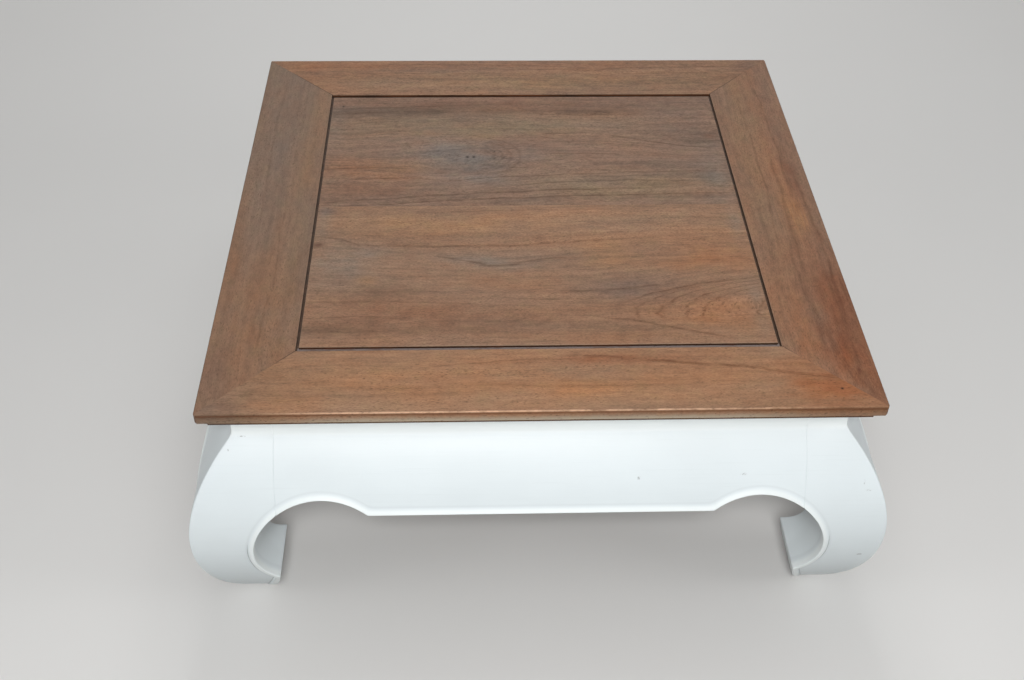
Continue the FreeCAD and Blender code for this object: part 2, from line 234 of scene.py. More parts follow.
# How fine the meshes are.
HEIGHT_STEP = 4 * MM
LENGTH_STEP = 5 * MM
BELLY_ROWS = 9
JOINT_SHARE = 0.125
SHARP_EDGE = math.radians(60)
HALF = 0.5


def smooth(value, low, high):
    """Rises evenly from 0 at low to 1 at high, with soft ends."""
    share = min(1.0, max(0.0, (value - low) / (high - low)))
    return share * share * (3 - 2 * share)


def graded(stops, edge, step):
    """Levels about a step apart, with one more close beside each stop to keep its edge crisp."""
    levels = [stops[0]]
    for low, high in zip(stops, stops[1:]):
        room = high - low - 2 * edge
        count = max(1, math.ceil(room / step))
        levels.extend(low + edge + room * number / count for number in range(count + 1))
        levels.append(high)
    return levels


def counted_block(counts):
    """A block divided into that many steps along X, Y and Z, with its corners on whole numbers."""
    mesh = bmesh.new()
    bmesh.ops.create_cube(mesh, size=1, matrix=Matrix.Translation((HALF, HALF, HALF)))
    for axis, count in enumerate(counts):
        edges = [
            edge for edge in mesh.edges
            if abs(edge.verts[0].co[axis] - edge.verts[1].co[axis]) > HALF
        ]
        bmesh.ops.subdivide_edges(mesh, edges=edges, cuts=count - 1, use_grid_fill=True)
    bmesh.ops.scale(mesh, vec=counts, verts=mesh.verts)
    return mesh


def extrude(mesh, faces, sweep, keep):
    """Sweeps faces along a vector, and keeps them where they were if asked."""
    swept = bmesh.ops.extrude_face_region(mesh, geom=faces, use_keep_orig=keep)
    moved = [item for item in swept["geom"] if isinstance(item, bmesh.types.BMVert)]
    bmesh.ops.translate(mesh, verts=moved, vec=sweep)
    bmesh.ops.recalc_face_normals(mesh, faces=mesh.faces)


def prism(points, sweep):
    """The closed face through the points, swept along a vector."""
    mesh = bmesh.new()
    face = mesh.faces.new([mesh.verts.new(point) for point in points])
    extrude(mesh, [face], sweep, True)
    return mesh


def everything(mesh):
    """All corners, edges and faces of a mesh."""
    return mesh.verts[:] + mesh.edges[:] + mesh.faces[:]


def cut_off(mesh, place, outward):
    """Cuts away what lies beyond a plane, closes the cut and returns the edges round it."""
    cut = bmesh.ops.bisect_plane(mesh, geom=everything(mesh), plane_co=place, plane_no=outward,
                                 clear_outer=True)
    rim = [item for item in cut["geom_cut"] if isinstance(item, bmesh.types.BMEdge)]
    bmesh.ops.holes_fill(mesh, edges=rim, sides=0)
    return rim


def soften(mesh, edges, radius, segments):
    """Rounds some edges and shades the rounding smooth."""
    rounded = bmesh.ops.bevel(mesh, geom=edges, offset=radius, offset_type="OFFSET", segments=segments,
                              profile=HALF, affect="EDGES", material=-1, clamp_overlap=False)
    for face in rounded["faces"]:
        face.smooth = True


def to_side(mesh, side):
    """Moves a mesh from a side's own frame, X along the side and Y inwards, to its place."""
    turn = Matrix.Rotation(SIDES.index(side) * QUARTER_TURN, 4, "Z")
    right = 1 if side in ("right", "back") else -1
    back = 1 if side in ("back", "left") else -1
    corner = Matrix.Translation((right * TOP_LENGTH / 2, back * TOP_DEPTH / 2, 0))
    bmesh.ops.transform(mesh, matrix=corner @ turn, verts=mesh.verts)


def to_corner(mesh, depthwise, sideways):
    """Moves a mesh from the front left corner's own frame to a corner, as its mirror image there."""
    bmesh.ops.translate(mesh, vec=(-TOP_LENGTH / 2, -TOP_DEPTH / 2, 0), verts=mesh.verts)
    mirrored = (1 if sideways == "left" else -1, 1 if depthwise == "front" else -1, 1)
    bmesh.ops.scale(mesh, vec=mirrored, verts=mesh.verts)
    bmesh.ops.recalc_face_normals(mesh, faces=mesh.faces)


def add_object(name, data):
    """A new object in the scene."""
    made = bpy.data.objects.new(name, data)
    bpy.context.scene.collection.objects.link(made)
    return made


def add_piece(mesh, name, material, nodes, refined=False):
    """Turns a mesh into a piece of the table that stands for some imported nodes."""
    data = bpy.data.meshes.new(name)
    if refined:
        for face in mesh.faces:
            face.smooth = True
    mesh.to_mesh(data)
    mesh.free()
    data.materials.append(material)
    piece = add_object(name, data)
    if refined:
        rounding = piece.modifiers.new("Rounding", "SUBSURF")
        rounding.levels = 1
        rounding.render_levels = 1
    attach(piece, ONLY_BODY)
    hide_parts(*nodes)


# The base's outer face and its lower edges

def kink_height(base):
    """Height of the crease between the upright band and the belly."""
    return UNDER_TOP - base.band_height


def bow_radius(across, along):
    """Radius of an arc that starts upright and ends across and along from its start."""
    return (across ** 2 + along ** 2) / (2 * across)


def face_inset(base, height, deep=0.0):
    """Inset of the surface that lies deep inside the base's outer face, at a height."""
    rise = height - base.belly_height
    if rise >= 0:
        radius = bow_radius(base.band_inset + base.belly_reach, kink_height(base) - base.belly_height)
    else:
        radius = bow_radius(base.foot_inset + base.belly_reach, base.belly_height)
    curved = radius - base.belly_reach - math.sqrt(max(0.0, (radius - deep) ** 2 - rise ** 2))
    upright = base.band_inset + deep
    near_kink = max(0.0, 1 - abs(curved - upright) / base.kink_softness)
    return min(curved, upright) - near_kink ** 2 * base.kink_softness / 4


def toe_height(base):
    """Height of the toe's tip, where its end meets the round opening."""
    across = base.arch_inset - base.toe_inset
    return base.arch_height - math.sqrt(base.arch_radius ** 2 - across ** 2)


def joint_edge_height(base):
    """Height at which the round opening passes from the leg to the apron."""
    across = base.arch_inset - JOINT_INSET
    return base.arch_height + math.sqrt(base.arch_radius ** 2 - across ** 2)


def toe_line(base, height):
    """Inset of the straight line from the heel to the toe's tip."""
    return base.heel_inset + (base.toe_inset - base.heel_inset) * height / toe_height(base)


def toe_lean(base):
    """Level width of a band along the toe's end for each unit of its true width."""
    return math.hypot(base.toe_inset - base.heel_inset, toe_height(base)) / toe_height(base)


def leg_edge(base, height):
    """Inset of a leg's inner edge: the toe's end, then the round opening, then the joint."""
    if height < toe_height(base):
        share = height / toe_height(base)
        return toe_line(base, height) + base.toe_swell * 4 * share * (1 - share)
    if height < joint_edge_height(base):
        return base.arch_inset - math.sqrt(base.arch_radius ** 2 - (height - base.arch_height) ** 2)
    return JOINT_INSET


def lip_start(base, height):
    """Inset where the lip begins on a leg's face, or a line just short of the joint above it."""
    starts = [JOINT_INSET - base.rounding]
    outer = base.arch_radius + base.lip_width
    rise = height - base.arch_height
    if abs(rise) < outer:
        starts.append(base.arch_inset - math.sqrt(outer ** 2 - rise ** 2))
    if height < toe_height(base):
        starts.append(toe_line(base, height) - base.lip_width * toe_lean(base))
    return min(starts)


def lip_share(base, inset, height):
    """How far a point of a leg's face lies from its inner edge, as a share of the lip's width."""
    from_arch = math.hypot(inset - base.arch_inset, height - base.arch_height) - base.arch_radius
    from_toe = (toe_line(base, height) - inset) / toe_lean(base)
    return max(0.0, min(from_arch, from_toe)) / base.lip_width


def cove(base, share):
    """How far the hollow-sided lip stands out, at a share of its width from the edge."""
    return base.lip_height * max(0.0, 1 - share) ** 2


def peak(share, middle, half_width):
    """1 at the middle of a narrow band, and 0 outside it."""
    return max(0.0, 1 - abs(share - middle) / half_width)


def bead(base, share):
    """How far the flat lip with its groove stands out on the lower leg."""
    groove = base.bead_groove * peak(share, GROOVE_MIDDLE, GROOVE_HALF)
    return base.bead_height * (1 - smooth(share, *BEAD_END)) - groove


def upper_share(base, height):
    """1 where the lip is a cove, 0 on the lower leg where it is a bead."""
    return smooth(height - base.arch_height, BEAD_TOP, COVE_FOOT)


def leg_rise(base, inset, height):
    """How far the lip stands out at a point of a leg's face."""
    share = lip_share(base, inset, height)
    upper = upper_share(base, height)
    return cove(base, share) * upper + bead(base, share) * (1 - upper)


def leg_crease(base, inset, height):
    """How much dirt the groove beside the lip holds."""
    share = lip_share(base, inset, height)
    return peak(share, GROOVE_MIDDLE, CREASE_HALF) * (1 - upper_share(base, height))


def leg_mesh(base):
    """One leg in its corner's frame, with X and Y running inwards from the top's corner."""
    stops = (0, toe_height(base), joint_edge_height(base), UNDER_TOP)
    levels = graded(stops, base.rounding, HEIGHT_STEP)
    last_body = len(BODY_SHARES) - 1
    steps = last_body + len(LIP_SHARES)
    mesh = counted_block((steps, steps, len(levels) - 1))
    crease = mesh.verts.layers.float.new(CREASE)
    lip = mesh.verts.layers.float.new(LIP)

    def inset_at(step, height):
        start = lip_start(base, height)
        if step <= last_body:
            outer = face_inset(base, height)
            return outer + (start - outer) * BODY_SHARES[step]
        edge = leg_edge(base, height)
        return edge - (edge - start) * LIP_SHARES[step - last_body - 1]

    def skin(step):
        if step > last_body:
            return 0.0
        return max(0.0, 1 - BODY_SHARES[step] / SKIN_SHARE)

    for vertex in mesh.verts:
        across, inward, level = (round(value) for value in vertex.co)
        height = levels[level]
        place = [inset_at(across, height), inset_at(inward, height), height]
        # On each of the two faces, the lip lies along the edge that the other inset measures to.
        faces = ((0, place[1], skin(across)), (1, place[0], skin(inward)))
        for axis, inset, near_face in faces:
            place[axis] -= leg_rise(base, inset, height) * near_face
            vertex[crease] = max(vertex[crease], leg_crease(base, inset, height) * near_face)
            vertex[lip] = max(vertex[lip], (1 - lip_share(base, inset, height)) * near_face)
        vertex.co = place
    return mesh


def apron_edge(base, inset, distance):
    """Height of the line that runs at a distance above an apron's lower edge."""
    straight = base.edge_height + distance
    radius = base.arch_radius + distance
    across = abs(inset - base.arch_inset)
    if across >= radius:
        return straight
    return max(straight, base.arch_height + math.sqrt(radius ** 2 - across ** 2))


def apron_mesh(base, side_length):
    """One apron in its side's frame, X along the side and Y inwards."""
    bow = math.sqrt(base.arch_radius ** 2 - (base.edge_height - base.arch_height) ** 2)
    notch = base.arch_inset + bow
    stops = (JOINT_INSET, notch, side_length - notch, side_length - JOINT_INSET)
    places = graded(stops, base.rounding * JOINT_SHARE, LENGTH_STEP)
    lip_rows = [base.lip_width * share for share in reversed(LIP_SHARES)] + [base.lip_width]
    band_rows = graded((kink_height(base), UNDER_TOP), base.rounding, HEIGHT_STEP)
    deeps = graded((0, base.wall), base.rounding, base.wall / 2)
    rows = len(lip_rows) + BELLY_ROWS + len(band_rows)
    mesh = counted_block((len(places) - 1, len(deeps) - 1, rows - 1))
    lip = mesh.verts.layers.float.new(LIP)

    def height_at(inset, row):
        if row < len(lip_rows):
            return apron_edge(base, inset, lip_rows[row])
        row -= len(lip_rows)
        if row < BELLY_ROWS:
            low = apron_edge(base, inset, base.lip_width)
            high = kink_height(base) - base.kink_softness
            return low + (high - low) * (row + 1) / BELLY_ROWS
        return band_rows[row - BELLY_ROWS]

    for vertex in mesh.verts:
        along, inward, row = (round(value) for value in vertex.co)
        x = places[along]
        deep = deeps[inward]
        z = height_at(min(x, side_length - x), row)
        y = face_inset(base, z, deep)
        if row < len(lip_rows):
            share = lip_rows[row] / base.lip_width
            near_face = max(0.0, 1 - deep / (SKIN_SHARE * base.wall))
            y -= cove(base, share) * near_face
            vertex[lip] = (1 - share) * near_face
        vertex.co = (x, y, z)
    return mesh


# Top

ROUND_STEPS = 4
COVE_STEPS = 8
MITRE_STEPS = 2
BOARD_STEPS = 3
PIN_STEPS = 2
PIN_SIDES = 24
SLOT_ROOM = 0.2 * MM


def arc_points(centre, radii, start, end, steps):
    """Points along a quarter or other part of an ellipse, from one angle to another in degrees."""
    points = []
    for number in range(steps + 1):
        angle = math.radians(start + (end - start) * number / steps)
        points.append((centre[0] + radii[0] * math.cos(angle), centre[1] + radii[1] * math.sin(angle)))
    return points


def member_section(top):
    """Section of a rail or stile as (inset, height) points, from the inner lower edge round."""
    land_foot = TOP_HEIGHT - top.edge_land
    outer = top.outer_rounding
    inner = top.inner_rounding
    slot_top = TOP_HEIGHT - top.groove_depth + SLOT_ROOM
    slot_inset = FRAME_WIDTH - top.slot_depth
    points = [(FRAME_WIDTH, UNDER_TOP)]
    points += arc_points((0, UNDER_TOP), (top.edge_undercut, land_foot - UNDER_TOP), 0, 90, COVE_STEPS)
    points += arc_points((outer, TOP_HEIGHT - outer), (outer, outer), 180, 90, ROUND_STEPS)
    points += arc_points((FRAME_WIDTH - inner, TOP_HEIGHT - inner), (inner, inner), 90, 0, ROUND_STEPS)
    points += [(FRAME_WIDTH, slot_top), (slot_inset, slot_top), (slot_inset, PANEL_UNDER)]
    points += [(FRAME_WIDTH, PANEL_UNDER)]
    return points


def member_mesh(top, member_length):
    """A rail or stile in its side's frame, mitred at both ends, with its outer corners worn off."""
    section = [(0, inset, height) for inset, height in member_section(top)]
    mesh = prism(section, (member_length, 0, 0))
    for end, outward in ((0, -1), (member_length, 1)):
        rim = cut_off(mesh, (end, 0, 0), (outward, 1, 0))
        soften(mesh, rim, top.mitre_rounding, MITRE_STEPS)
        cut_off(mesh, (end, top.corner_wear, 0), (outward, -1, 0))
    for face in mesh.faces:
        if min(edge.calc_length() for edge in face.edges) < top.outer_rounding:
            face.smooth = True
    bmesh.ops.recalc_face_normals(mesh, faces=mesh.faces)
    return mesh


def board_mesh(top, front):
    """The front or back board: body, tongues in the frame's slots and slots for both battens."""
    tongue_top = TOP_HEIGHT - top.groove_depth
    body = OPENING_LENGTH / 2 - top.side_gap
    reach = OPENING_LENGTH / 2 + TONGUE_REACH
    neck = top.dovetail_neck / 2
    wide = BATTEN_WIDTH / 2
    slot_top = PANEL_UNDER + DOVETAIL_HEIGHT
    outline = [(-reach, PANEL_UNDER)]
    for place in (-BATTEN_PLACE, BATTEN_PLACE):
        outline += [(place - neck, PANEL_UNDER), (place - wide, slot_top)]
        outline += [(place + wide, slot_top), (place + neck, PANEL_UNDER)]
    outline += [(reach, PANEL_UNDER), (reach, tongue_top), (body, tongue_top)]
    outline += [(body, TOP_HEIGHT), (-body, TOP_HEIGHT), (-body, tongue_top), (-reach, tongue_top)]
    outward, gap = (-1, top.front_gap) if front else (1, top.back_gap)
    edge = outward * (OPENING_DEPTH / 2 - gap)
    tongue = outward * (OPENING_DEPTH / 2 + TONGUE_REACH)
    mesh = prism([(x, SEAM_PLACE, z) for x, z in outline], (0, edge - SEAM_PLACE, 0))
    bmesh.ops.bisect_plane(mesh, geom=everything(mesh), plane_co=(0, 0, tongue_top), plane_no=(0, 0, 1))
    lower_end = [
        face for face in mesh.faces
        if abs(face.calc_center_median().y - edge) < MM and face.calc_center_median().z < tongue_top
    ]
    extrude(mesh, lower_end, (0, tongue - edge, 0), False)

    def upper(edge_of_board, seam):
        heights = [abs(vertex.co.z - TOP_HEIGHT) for vertex in edge_of_board.verts]
        rows = [abs(vertex.co.y - SEAM_PLACE) for vertex in edge_of_board.verts]
        return max(heights) < top.seam_rounding / 2 and (max(rows) < MM) == seam

    soften(mesh, [edge for edge in mesh.edges if upper(edge, True)], top.seam_rounding, 1)
    rims = [edge for edge in mesh.edges if upper(edge, False) and len(edge.link_faces) == 2]
    rims = [edge for edge in rims if edge.calc_face_angle() > SHARP_EDGE]
    soften(mesh, rims, top.board_rounding, BOARD_STEPS)
    return mesh


def batten_mesh(top, place):
    """A dovetailed batten under the boards."""
    neck = top.dovetail_neck / 2
    wide = BATTEN_WIDTH / 2
    outline = [(-wide, BATTEN_UNDER), (wide, BATTEN_UNDER), (wide, PANEL_UNDER), (neck, PANEL_UNDER)]
    outline += [(wide, PANEL_UNDER + DOVETAIL_HEIGHT), (-wide, PANEL_UNDER + DOVETAIL_HEIGHT)]
    outline += [(-neck, PANEL_UNDER), (-wide, PANEL_UNDER)]
    mesh = prism([(place + x, -OPENING_DEPTH / 2, z) for x, z in outline], (0, OPENING_DEPTH, 0))
    lower = [
        edge for edge in mesh.edges
        if all(abs(vertex.co.z - BATTEN_UNDER) < MM for vertex in edge.verts)
        and edge.calc_length() > BATTEN_WIDTH * 2
    ]
    soften(mesh, lower, top.batten_rounding, BOARD_STEPS)
    return mesh


def add_dowel(mesh, sizes, start, direction, dowel_length):
    """Adds one pin that starts just proud of a surface and runs inwards along a direction."""
    along = Vector(direction)
    middle = Vector(start) + along * (dowel_length - sizes.proud) / 2
    turn = along.to_track_quat("Z", "Y").to_matrix().to_4x4()
    place = Matrix.Translation(middle) @ turn
    made = bmesh.ops.create_cone(mesh, cap_ends=True, segments=PIN_SIDES, radius1=sizes.radius,
                                 radius2=sizes.radius, depth=dowel_length + sizes.proud, matrix=place)
    rims = {edge for vertex in made["verts"] for edge in vertex.link_edges}
    rims = [edge for edge in rims if edge.calc_length() < sizes.radius]
    soften(mesh, rims, sizes.rounding, PIN_STEPS)


def joined(meshes):
    """Several meshes as one."""
    whole = bmesh.new()
    for mesh in meshes:
        part = bpy.data.meshes.new("part")
        mesh.to_mesh(part)
        mesh.free()
        whole.from_mesh(part)
        bpy.data.meshes.remove(part)
    return whole


def mitre_dowels(sizes):
    """The four pins that lock the corners of the top, seen from below."""
    start = (sizes.mitre_inset, sizes.mitre_along, UNDER_TOP)
    meshes = []
    for corner in CORNERS:
        mesh = bmesh.new()
        add_dowel(mesh, sizes, start, (0, 0, 1), sizes.mitre_length)
        to_corner(mesh, *corner)
        meshes.append(mesh)
    return joined(meshes)


def apron_dowels(sizes, sides, below_top):
    """The pins that lock the aprons of two sides to the legs, seen from inside."""
    meshes = []
    for side in sides:
        side_length = TOP_LENGTH if side in ("front", "back") else TOP_DEPTH
        near = JOINT_INSET - sizes.apron_from_joint
        mesh = bmesh.new()
        for along in (near, side_length - near):
            start = (along, JOINT_INSET, UNDER_TOP - below_top)
            add_dowel(mesh, sizes, start, (0, -1, 0), sizes.apron_length)
        to_side(mesh, side)
        meshes.append(mesh)
    return joined(meshes)


# Shader maths

class Signal:
    """What comes out of a node; sums on numbers add Math nodes."""

    def __init__(self, finish, socket):
        self.finish = finish
        self.socket = socket

    def __add__(self, other):
        return self.finish.maths("ADD", self, other)

    def __sub__(self, other):
        return self.finish.maths("SUBTRACT", self, other)

    def __rsub__(self, other):
        return self.finish.maths("SUBTRACT", other, self)

    def __mul__(self, other):
        return self.finish.maths("MULTIPLY", self, other)

    def __truediv__(self, other):
        return self.finish.maths("DIVIDE", self, other)

    def __pow__(self, other):
        return self.finish.maths("POWER", self, other)

    def __abs__(self):
        return self.finish.maths("ABSOLUTE", self)

    __radd__ = __add__
    __rmul__ = __mul__


BELL = 1 / math.e
# Where two colours go into a Mix node, and where the mixed colour comes out.
MIX_INPUTS = (6, 7)
MIX_OUTPUT = 2
# Half its length lies along X, and half its width along Y, or along Z if it stands upright.
Patch = namedtuple("Patch", "x y half_length half_width")
# The cells are how many there are in a millimetre along each axis.
Noise = namedtuple("Noise", "cells seed detail roughness", defaults=(2.0, 0.5))


class Finish:
    """A material being made, with short ways to add the nodes that it needs."""

    def __init__(self, tree):
        self.tree = tree
        self.tree.nodes.clear()

    def node(self, kind, settings, values):
        """A node of that type; its settings come first, then its sockets' values or links."""
        node = self.tree.nodes.new(kind)
        for name, value in settings.items():
            setattr(node, name, value)
        for key, value in values.items():
            if isinstance(value, Signal):
                self.tree.links.new(value.socket, node.inputs[key])
            else:
                node.inputs[key].default_value = value
        return node

    def maths(self, operation, *values):
        """What a Math node makes of some numbers."""
        node = self.node("ShaderNodeMath", {"operation": operation}, dict(enumerate(values)))
        return Signal(self, node.outputs[0])

    def vector_maths(self, operation, *values):
        """What a Vector Math node makes of some vectors."""
        node = self.node("ShaderNodeVectorMath", {"operation": operation}, dict(enumerate(values)))
        return Signal(self, node.outputs["Value" if operation == "DOT_PRODUCT" else "Vector"])

    def vector(self, x, y, z):
        """Three numbers as a vector."""
        return Signal(self, self.node("ShaderNodeCombineXYZ", {}, {0: x, 1: y, 2: z}).outputs[0])

    def parts(self, vector):
        """The three numbers of a vector."""
        node = self.node("ShaderNodeSeparateXYZ", {}, {0: vector})
        return [Signal(self, socket) for socket in node.outputs]

    def place(self):
        """Where a point lies in the table's frame, in millimetres."""
        source = self.node("ShaderNodeTexCoord", {}, {}).outputs["Object"]
        return self.vector_maths("MULTIPLY", Signal(self, source), (1 / MM, 1 / MM, 1 / MM))

    def attribute(self, name):
        """A number that the mesh carries at each corner."""
        node = self.node("ShaderNodeAttribute", {"attribute_name": name}, {})
        return Signal(self, node.outputs["Fac"])

    def noise(self, place, kind, seed=0.0):
        """Smooth noise about 0 at a place."""
        shift = seed + kind.seed
        cell = self.vector_maths("MULTIPLY_ADD", place, kind.cells, (shift, 0.0, shift))
        values = {"Vector": cell, "Scale": 1.0, "Detail": kind.detail, "Roughness": kind.roughness}
        return Signal(self, self.node("ShaderNodeTexNoise", {}, values).outputs["Fac"]) - 0.5

    def rise(self, value, low, high, kind="SMOOTHSTEP"):
        """0 below low, 1 above high, with soft ends unless it is linear."""
        values = {"Value": value, "From Min": low, "From Max": high, "To Min": 0.0, "To Max": 1.0}
        node = self.node("ShaderNodeMapRange", {"interpolation_type": kind}, values)
        return Signal(self, node.outputs["Result"])

    def fall(self, value, low, high):
        """1 below low, 0 above high, with soft ends."""
        return 1 - self.rise(value, low, high)

    def between(self, value, start, end):
        """1 between two soft edges, each given by where it begins and ends, and 0 outside them."""
        return self.rise(value, *start) * self.fall(value, *end)

    def ramp(self, value, low, high):
        """0 below low, 1 above high, and even between them."""
        return self.rise(value, low, high, "LINEAR")

    def bell(self, squared):
        """1 where the number is 0, falling to 0 as it grows."""
        return self.maths("POWER", BELL, squared)

    def spot(self, place, patch, upright=False):
        """1 at the middle of a soft oval patch, which lies level or stands upright, and 0 outside it."""
        shares = (1 / patch.half_length, 1 / patch.half_width)
        starts = (-patch.x * shares[0], -patch.y * shares[1])
        if upright:
            scales, shift = (shares[0], 0.0, shares[1]), (starts[0], 0.0, starts[1])
        else:
            scales, shift = (*shares, 0.0), (*starts, 0.0)
        offset = self.vector_maths("MULTIPLY_ADD", place, scales, shift)
        return self.bell(self.vector_maths("DOT_PRODUCT", offset, offset))

    def mix(self, factor, first, second, blend="MIX"):
        """Two colours mixed; a plain colour is three numbers."""
        values = {0: factor}
        for key, value in zip(MIX_INPUTS, (first, second)):
            values[key] = value if isinstance(value, Signal) else (*value, 1.0)
        node = self.node("ShaderNodeMix", {"data_type": "RGBA", "blend_type": blend}, values)
        return Signal(self, node.outputs[MIX_OUTPUT])

    def seen(self):
        """1 where the camera or a reflection sees the surface, 0 where light only bounces off it."""
        path = self.node("ShaderNodeLightPath", {}, {})
        rays = [Signal(self, path.outputs[name]) for name in ("Is Camera Ray", "Is Glossy Ray")]
        return self.maths("MAXIMUM", *rays)

    def bump(self, height, distance, strength):
        """The normal of a surface that a height makes uneven."""
        values = {"Height": height, "Distance": distance, "Strength": strength}
        return Signal(self, self.node("ShaderNodeBump", {}, values).outputs["Normal"])


class Surface(Finish):
    """The finish of a named material."""

    def __init__(self, name):
        self.material = bpy.data.materials.new(name)
        self.material.use_nodes = True
        super().__init__(self.material.node_tree)

    def shade(self, base_colour, roughness, normal, **plain):
        """Closes the material with its shader."""
        values = {"Base Color": base_colour, "Roughness": roughness, "Normal": normal, **plain}
        shader = self.node("ShaderNodeBsdfPrincipled", {}, values)
        self.node("ShaderNodeOutputMaterial", {}, {"Surface": Signal(self, shader.outputs[0])})
        return self.material


# Bare wood

# A cloud is a patch with a tint. A vein starts and ends at a place along the grain, each with its
# place across it, and bows out between them.
Cloud = namedtuple("Cloud", "x y half_length half_width strength tint")
Vein = namedtuple("Vein", "start across end end_across bow thickness strength")

# How a stretch of wood differs from its board, as shares of red, green and blue.
ORANGE = (1.16, 0.98, 0.82)
GOLD = (1.3, 1.2, 0.96)
RED = (0.84, 0.66, 0.58)
BLUE = (0.84, 1.07, 1.3)
OLIVE = (0.97, 1.08, 0.98)
PLUM = (0.72, 0.78, 0.9)
DARK = (0.66, 0.66, 0.65)
PALE = (1.24, 1.26, 1.22)
VEIN_TINT = (0.38, 0.3, 0.25)

# Noises that follow the growth lines, and noises that lie level on the board. Cells run along the
# grain, then across it.
FLOWING = {
    "broad": Noise((0.003, 0.045, 0.0), 0, 3.0, 0.6),
    "narrow": Noise((0.006, 0.2, 0.0), 3, 3.0, 0.6),
    "fibres": Noise((0.04, 0.5, 0.0), 5, 3.0, 0.7),
    "fleck": Noise((0.3, 0.7, 0.0), 11, 2.0, 0.7),
    "pore_field": Noise((0.25, 0.9, 0.0), 9, 1.0),
}
LEVEL = {
    "mottle": Noise((0.06, 0.14, 0.0), 17, 3.0, 0.65),
    "cloud": Noise((0.016, 0.032, 0.0), 13, 3.0, 0.55),
    "hue": Noise((0.007, 0.024, 0.0), 15),
    "blotch": Noise((0.045, 0.06, 0.0), 27, 2.0, 0.6),
    "wander": Noise((0.02, 0.02, 0.0), 21, 3.0),
    "breaks": Noise((0.06, 0.1, 0.0), 25),
}

# How far, in millimetres, noise bends the growth lines and the veins.
DRIFT = Noise((0.0035, 0.006, 0.0), 0)
SWAY = Noise((0.014, 0.022, 0.0), 7)
DRIFT_REACH = 26
SWAY_REACH = 7
WANDER_REACH = 10
RING_SLOPE = 0.7

# How much each noise counts in the lightness, the relief and the roughness.
LIGHTNESS = {"broad": 0.65, "fibres": 0.4, "fleck": 0.9, "mottle": 0.7}
STREAKS = 0.55
RELIEF = {"fibres": 1.0, "narrow": 0.5, "broad": 0.4, "pores": -0.7}
WEAR = {"broad": 0.2, "mottle": 0.15, "pores": 0.1}
DARKEST = 0.4
LIGHTEST = 1.6
STRONG = 0.6
FAINT = 0.3
HUE_RANGE = 0.3
BLOTCH_RANGE = 0.35
WOOD_ROUGHNESS = 0.58
# How high the bumps are, in metres, and how strongly they show.
WOOD_BUMP = (0.25 * MM, 0.5)

# Where, in a noise, a mark starts and is in full.
PORE_EDGE = (0.13, 0.2)
FRECKLE_EDGE = (0.12, 0.22)
BREAK_EDGE = (-0.3, 0.05)
WORN_EDGE = (-0.25, 0.05)
BACK_WALL_EDGE = (-0.12, 0.12)
BROWN_EDGE = (0.02, 0.2)

# Marks on the wood, each with its colour and with how much of the wood it hides.
Stain = namedtuple("Stain", "tone strength")
HOLE = Stain(linear(40, 30, 26), 1.0)
# The groove floor's dark tone stays as a painted shadow line where the floor meets the frame.
GROOVE_FLOOR = Stain(linear(46, 36, 30), 0.85)
GROOVE_DUST = Stain(linear(112, 90, 74), 0.7)
FRONT_DUST = Stain(linear(150, 138, 134), 0.8)
BROWN_FLOOR = Stain(linear(104, 76, 60), 0.5)
GROOVE_WALL = Stain(linear(44, 26, 18), 0.92)
BACK_WALL = Stain(linear(134, 84, 54), 0.6)
BROWN_WALL = Stain(linear(104, 62, 44), 0.6)
WORN_RIM = Stain(linear(176, 158, 140), 0.35)
EDGE_SHADE = Stain(linear(112, 68, 44), 0.6)
EDGE_DUST = Stain(linear(184, 172, 152), 0.75)
# The front rail's arris: wear and a painted highlight.
WORN_ARRIS_AND_HIGHLIGHT = Stain(linear(236, 192, 160), 0.85)
STILE_SMUDGE = Stain(linear(84, 42, 34), 0.6)
BOARD_KNOT = Stain(linear(78, 44, 34), 0.6)
PORE_GRIME = 0.35
FRECKLE_GRIME = 0.24
MITRE_GRIME = 0.75
# Painted shade in the hollow under the top's edge.
HOLLOW_SHADE = 0.7
CRACK_GRIME = 0.8
BIT_GRIME = 0.9
VEIN_SHADE = 1.1
CORNER_SHADE = 0.7

# Soft edges in millimetres, counted down from the top's surface.
RIM = ((0.05, 0.2), (0.5, 1.0))
WALL_TOP = (0.4, 1.6)
EDGE_SHADE_TOP = (1.2, 2.2)
EDGE_SHADE_FOOT = (3.5, 5.5)
ARRIS_FOOT = (0.8, 1.7)

# Soft edges in millimetres: off a mitre, out from the table's middle, past the panel's opening, in
# from the frame, in from the opening's front, past its back, and past the top's edge.
MITRE_WIDTH = (0.3, 1.0)
TOWARDS_CORNER = (180.0, 310.0)
PAST_OPENING = (0.3, 1.2)
OFF_FRAME = (1.4, 3.4)
OFF_FRAME_IN_FRONT = (0.8, 2.0)
FRONT_GROOVE = (7.0, 9.0)
BACK_GROOVE = (-0.2, 0.0)
OUTER_FACE = (-0.8, -0.3)
HOLLOW = (-13.0, -11.0)

# The mitres' grime ends this far out, counted as the sum of both insets from the middle.
MITRE_END = 525
BACK_MITRE_LONGER = 70
RIGHT_MITRE_SHORTER = 16
MITRE_FADE = 50.0

TOP_MM = TOP_HEIGHT / MM
HALF_OPENING = OPENING_LENGTH / 2 / MM
HALF_TOP = TOP_LENGTH / 2 / MM


def scaled(tone, *shares):
    """A colour made darker or lighter, by one share or by one for each channel."""
    if len(shares) == 1:
        shares = shares * 3
    return tuple(min(1.0, value * share) for value, share in zip(tone, shares))


